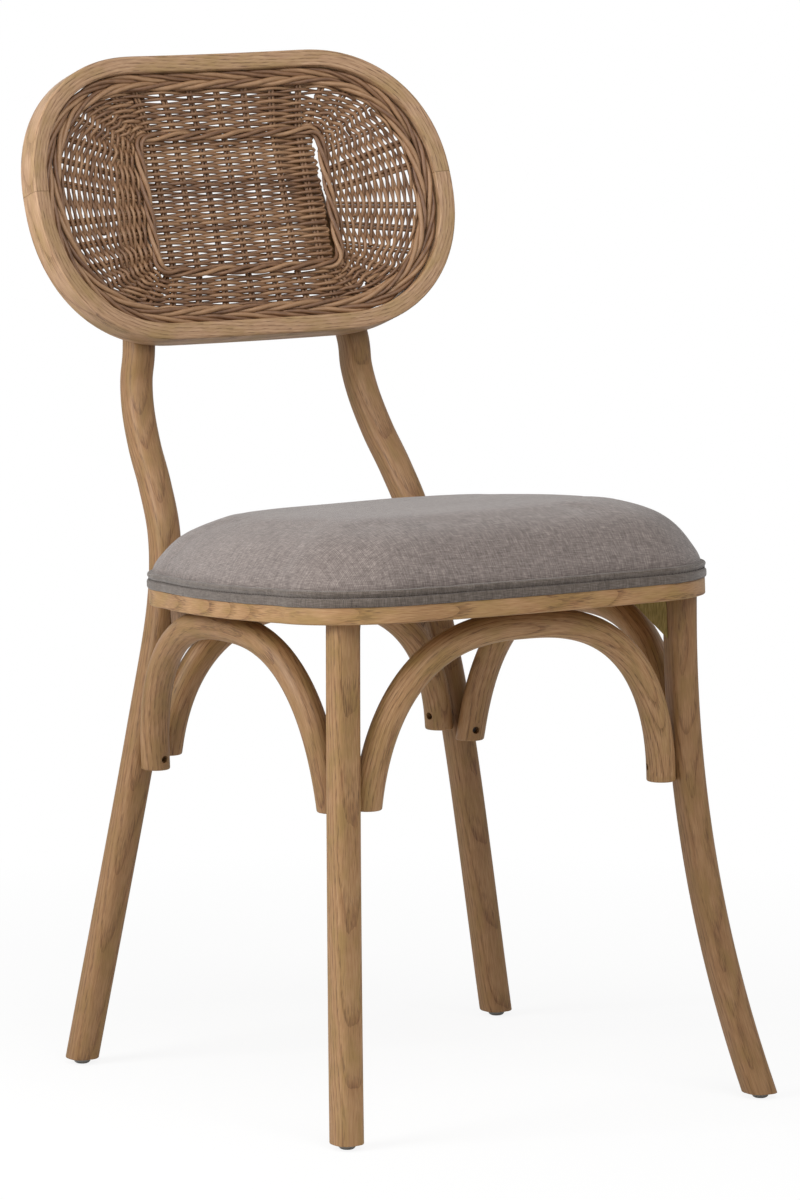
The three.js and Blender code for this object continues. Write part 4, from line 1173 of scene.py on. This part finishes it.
def weltSection():
    # Pairs of inset and rise, from the top of the roll out and down to the band's lower edge
    roll, ease = welt["roll"], welt["bandEase"]
    arcs = [(roll, welt["rollInset"], weltTop - roll, [90 + welt["rollArc"] * i / 12 for i in range(13)])]
    for rise, turns in ((welt["bandTop"] - ease, (90, 120, 150, 180)),
                        (welt["bandLow"] + ease, (180, 210, 240, 270))):
        arcs.append((ease, ease - welt["bandOut"], rise, turns))
    pairs = [(welt["depth"], weltTop)]
    for radius, inset, rise, turns in arcs:
        for turn in (radians(degrees) for degrees in turns):
            pairs.append((inset + radius * cos(turn), rise + radius * sin(turn)))
        if radius == roll:
            pairs.append((welt["grooveInset"], welt["grooveRise"]))
    pairs.append((welt["depth"], welt["bandLow"]))
    return pairs


def weltWobble(section, share):
    # Small swellings and a slight wave, as in sewn cloth
    turn = Vector((cos(tau * share), sin(tau * share), 0))
    swell = noise.noise(turn * welt["swellPace"]) * welt["wobble"]
    shift = noise.noise(turn * welt["shiftPace"] + up * 4) * welt["wobble"]
    return [(inset + (swell if inset < 0 else 0), rise + shift) for inset, rise in section]


def stitchTree():
    # Short thread stitches along a drawn line, laid end to end
    tree, add, given = newTree("welt stitches", [
        ("Stitch Step", "Float"), ("Stitch Length", "Float"), ("Stitch Width", "Float"),
        ("Thread Material", "Material")])
    line = add("MeshToCurve", [given["Geometry"]])
    points = add("CurveToPoints", {"Curve": line, "Length": given["Stitch Step"]}, mode="LENGTH")
    ball = add("MeshIcoSphere", {"Radius": 0.5, "Subdivisions": 1})
    width = given["Stitch Width"]
    size = add("CombineXYZ", [width, width, given["Stitch Length"]])
    stitches = add("InstanceOnPoints", {
        "Points": points, "Instance": ball, "Rotation": points.outputs["Rotation"], "Scale": size})
    for kind in ("RealizeInstances", "SetShadeSmooth"):
        stitches = add(kind, [stitches])
    stitches = add("SetMaterial", {"Geometry": stitches, "Material": given["Thread Material"]})
    add("GroupOutput", [stitches])
    return tree


def weltStitches():
    # The stitches lie in the groove, their middles a little further out than its floor
    out = welt["grooveInset"] - welt["stitchWidth"] * welt["stitchOut"]
    rim = [seatPoint(p.x, p.y, welt["grooveRise"]) for p in insetLoop(seatLoop, out)]
    edges = [(i, (i + 1) % len(rim)) for i in range(len(rim))]
    piece = newPiece("weltStitches", sewingThread, rim, edges=edges)
    values = {"Stitch " + key: welt["stitch" + key] * metre for key in ("Step", "Length", "Width")}
    runTree(piece, stitchTree(), values | {"Thread Material": sewingThread})
    ready(piece, "upholstery", "seat_welt")


ready(bentRing("seatWelt", seatLoop, weltSection(), seatPoint, shadedWeltLinen, wobble=weltWobble),
      "upholstery", "seat_welt")
weltStitches()
print("welt made")


# Glides under the feet

glides = {
    "width": 15, "flat": 7, "height": 4, "sides": 32,
    # Share of the way from the flat to the full width, and share of the height
    "profile": [(0, 0), (0.3, 0.06), (0.62, 0.22), (0.85, 0.5), (0.97, 0.8), (1, 1)],
}


def glidePiece(name):
    low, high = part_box("glide_" + name)
    centre = (low + high) / 2 / metre
    centre.y -= planShift / metre
    turns = [tau * i / glides["sides"] for i in range(glides["sides"])]
    rings = []
    for out, rise in glides["profile"]:
        radius = (glides["flat"] + (glides["width"] - glides["flat"]) * out) / 2
        height = low.z / metre + rise * glides["height"]
        rings.append([Vector((centre.x + radius * cos(turn), centre.y + radius * sin(turn), height))
                      for turn in turns])
    ready(newPiece("glideOf_" + name, nylon, *stitchLoops(rings)), "glides", "glide_" + name)


for name in ("front_left", "front_right", "rear_left", "rear_right"):
    glidePiece(name)
print("glides made")


# Nodes that keep their shape and only get their finish

finishes = {"block_front": sawnPine, "block_rear": stainedBlock, "seat_board": plywood,
            "dowel": sawnPine, "screw": steel, "bolt": steel}
for name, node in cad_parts.items():
    for part, finish in finishes.items():
        if part in name:
            node.data.materials.clear()
            node.data.materials.append(finish)


# Light and floor

light = {
    "sky": 0.3, "key": 29, "keySize": 0.9, "keyPlace": (-1.7, 0.1, 1.35),
    "fill": 46, "fillSize": 2.0, "fillPlace": (-0.3, -1.9, 2.5), "aimHeight": 0.45,
    "floorColour": "#f4f4f4", "floorRough": 0.9, "floorRadius": 4.0, "floorSides": 96,
    "shadowFrom": 0.35, "shadowReach": 1.1, "shadowGlow": 0.88,
}
white = (1, 1, 1, 1)


def makeWorld():
    # The eye and reflections see white, while the chair itself is lit by less
    world = bpy.data.worlds.new("studio")
    bpy.context.scene.world = world
    world.use_nodes = True
    world.node_tree.nodes.clear()
    add = partial(addNode, world.node_tree)
    rays = add("LightPath").outputs
    seen = rays["Is Camera Ray"]
    for ray in ("Is Glossy Ray", "Is Transmission Ray"):
        seen = add("Math", [seen, rays[ray]], "MAXIMUM")
    strength = add("Math", [seen, 1 - light["sky"], light["sky"]], "MULTIPLY_ADD")
    add("OutputWorld", {"Surface": add("Background", {"Color": white, "Strength": strength})})


def areaLight(name):
    data = setAll(bpy.data.lights.new(name, "AREA"), energy=light[name], size=light[name + "Size"])
    place = Vector(light[name + "Place"])
    aimed(name, data, place, up * light["aimHeight"] - place)


def makeFloor():
    # Pale studio floor that fades to white, so that only the shadow near the feet shows
    material, add = newMaterial("white studio floor")
    shader = add("BsdfPrincipled", {
        "Base Color": linear(light["floorColour"]), "Roughness": light["floorRough"]})
    place = add("TexCoord").outputs["Object"]
    reach = add("VectorMath", [place], "LENGTH").outputs["Value"]
    glowing = add("MapRange", {
        "Value": reach, "From Min": light["shadowFrom"], "From Max": light["shadowReach"],
        "To Min": light["shadowGlow"], "To Max": 1.0})
    seen = add("Math", [add("LightPath").outputs["Is Camera Ray"], glowing], "MULTIPLY")
    glow = add("Emission", {"Color": white, "Strength": 1.0})
    add("OutputMaterial", {"Surface": add("MixShader", [seen, shader, glow])})
    shape = bmesh.new()
    bmesh.ops.create_circle(shape, cap_ends=True, segments=light["floorSides"],
                            radius=light["floorRadius"])
    floor = fromShape("floor", shape)
    floor.data.materials.append(material)
    floor.location.z = cadBounds[0][2]


makeWorld()
areaLight("key")
areaLight("fill")
makeFloor()
print("studio lit")
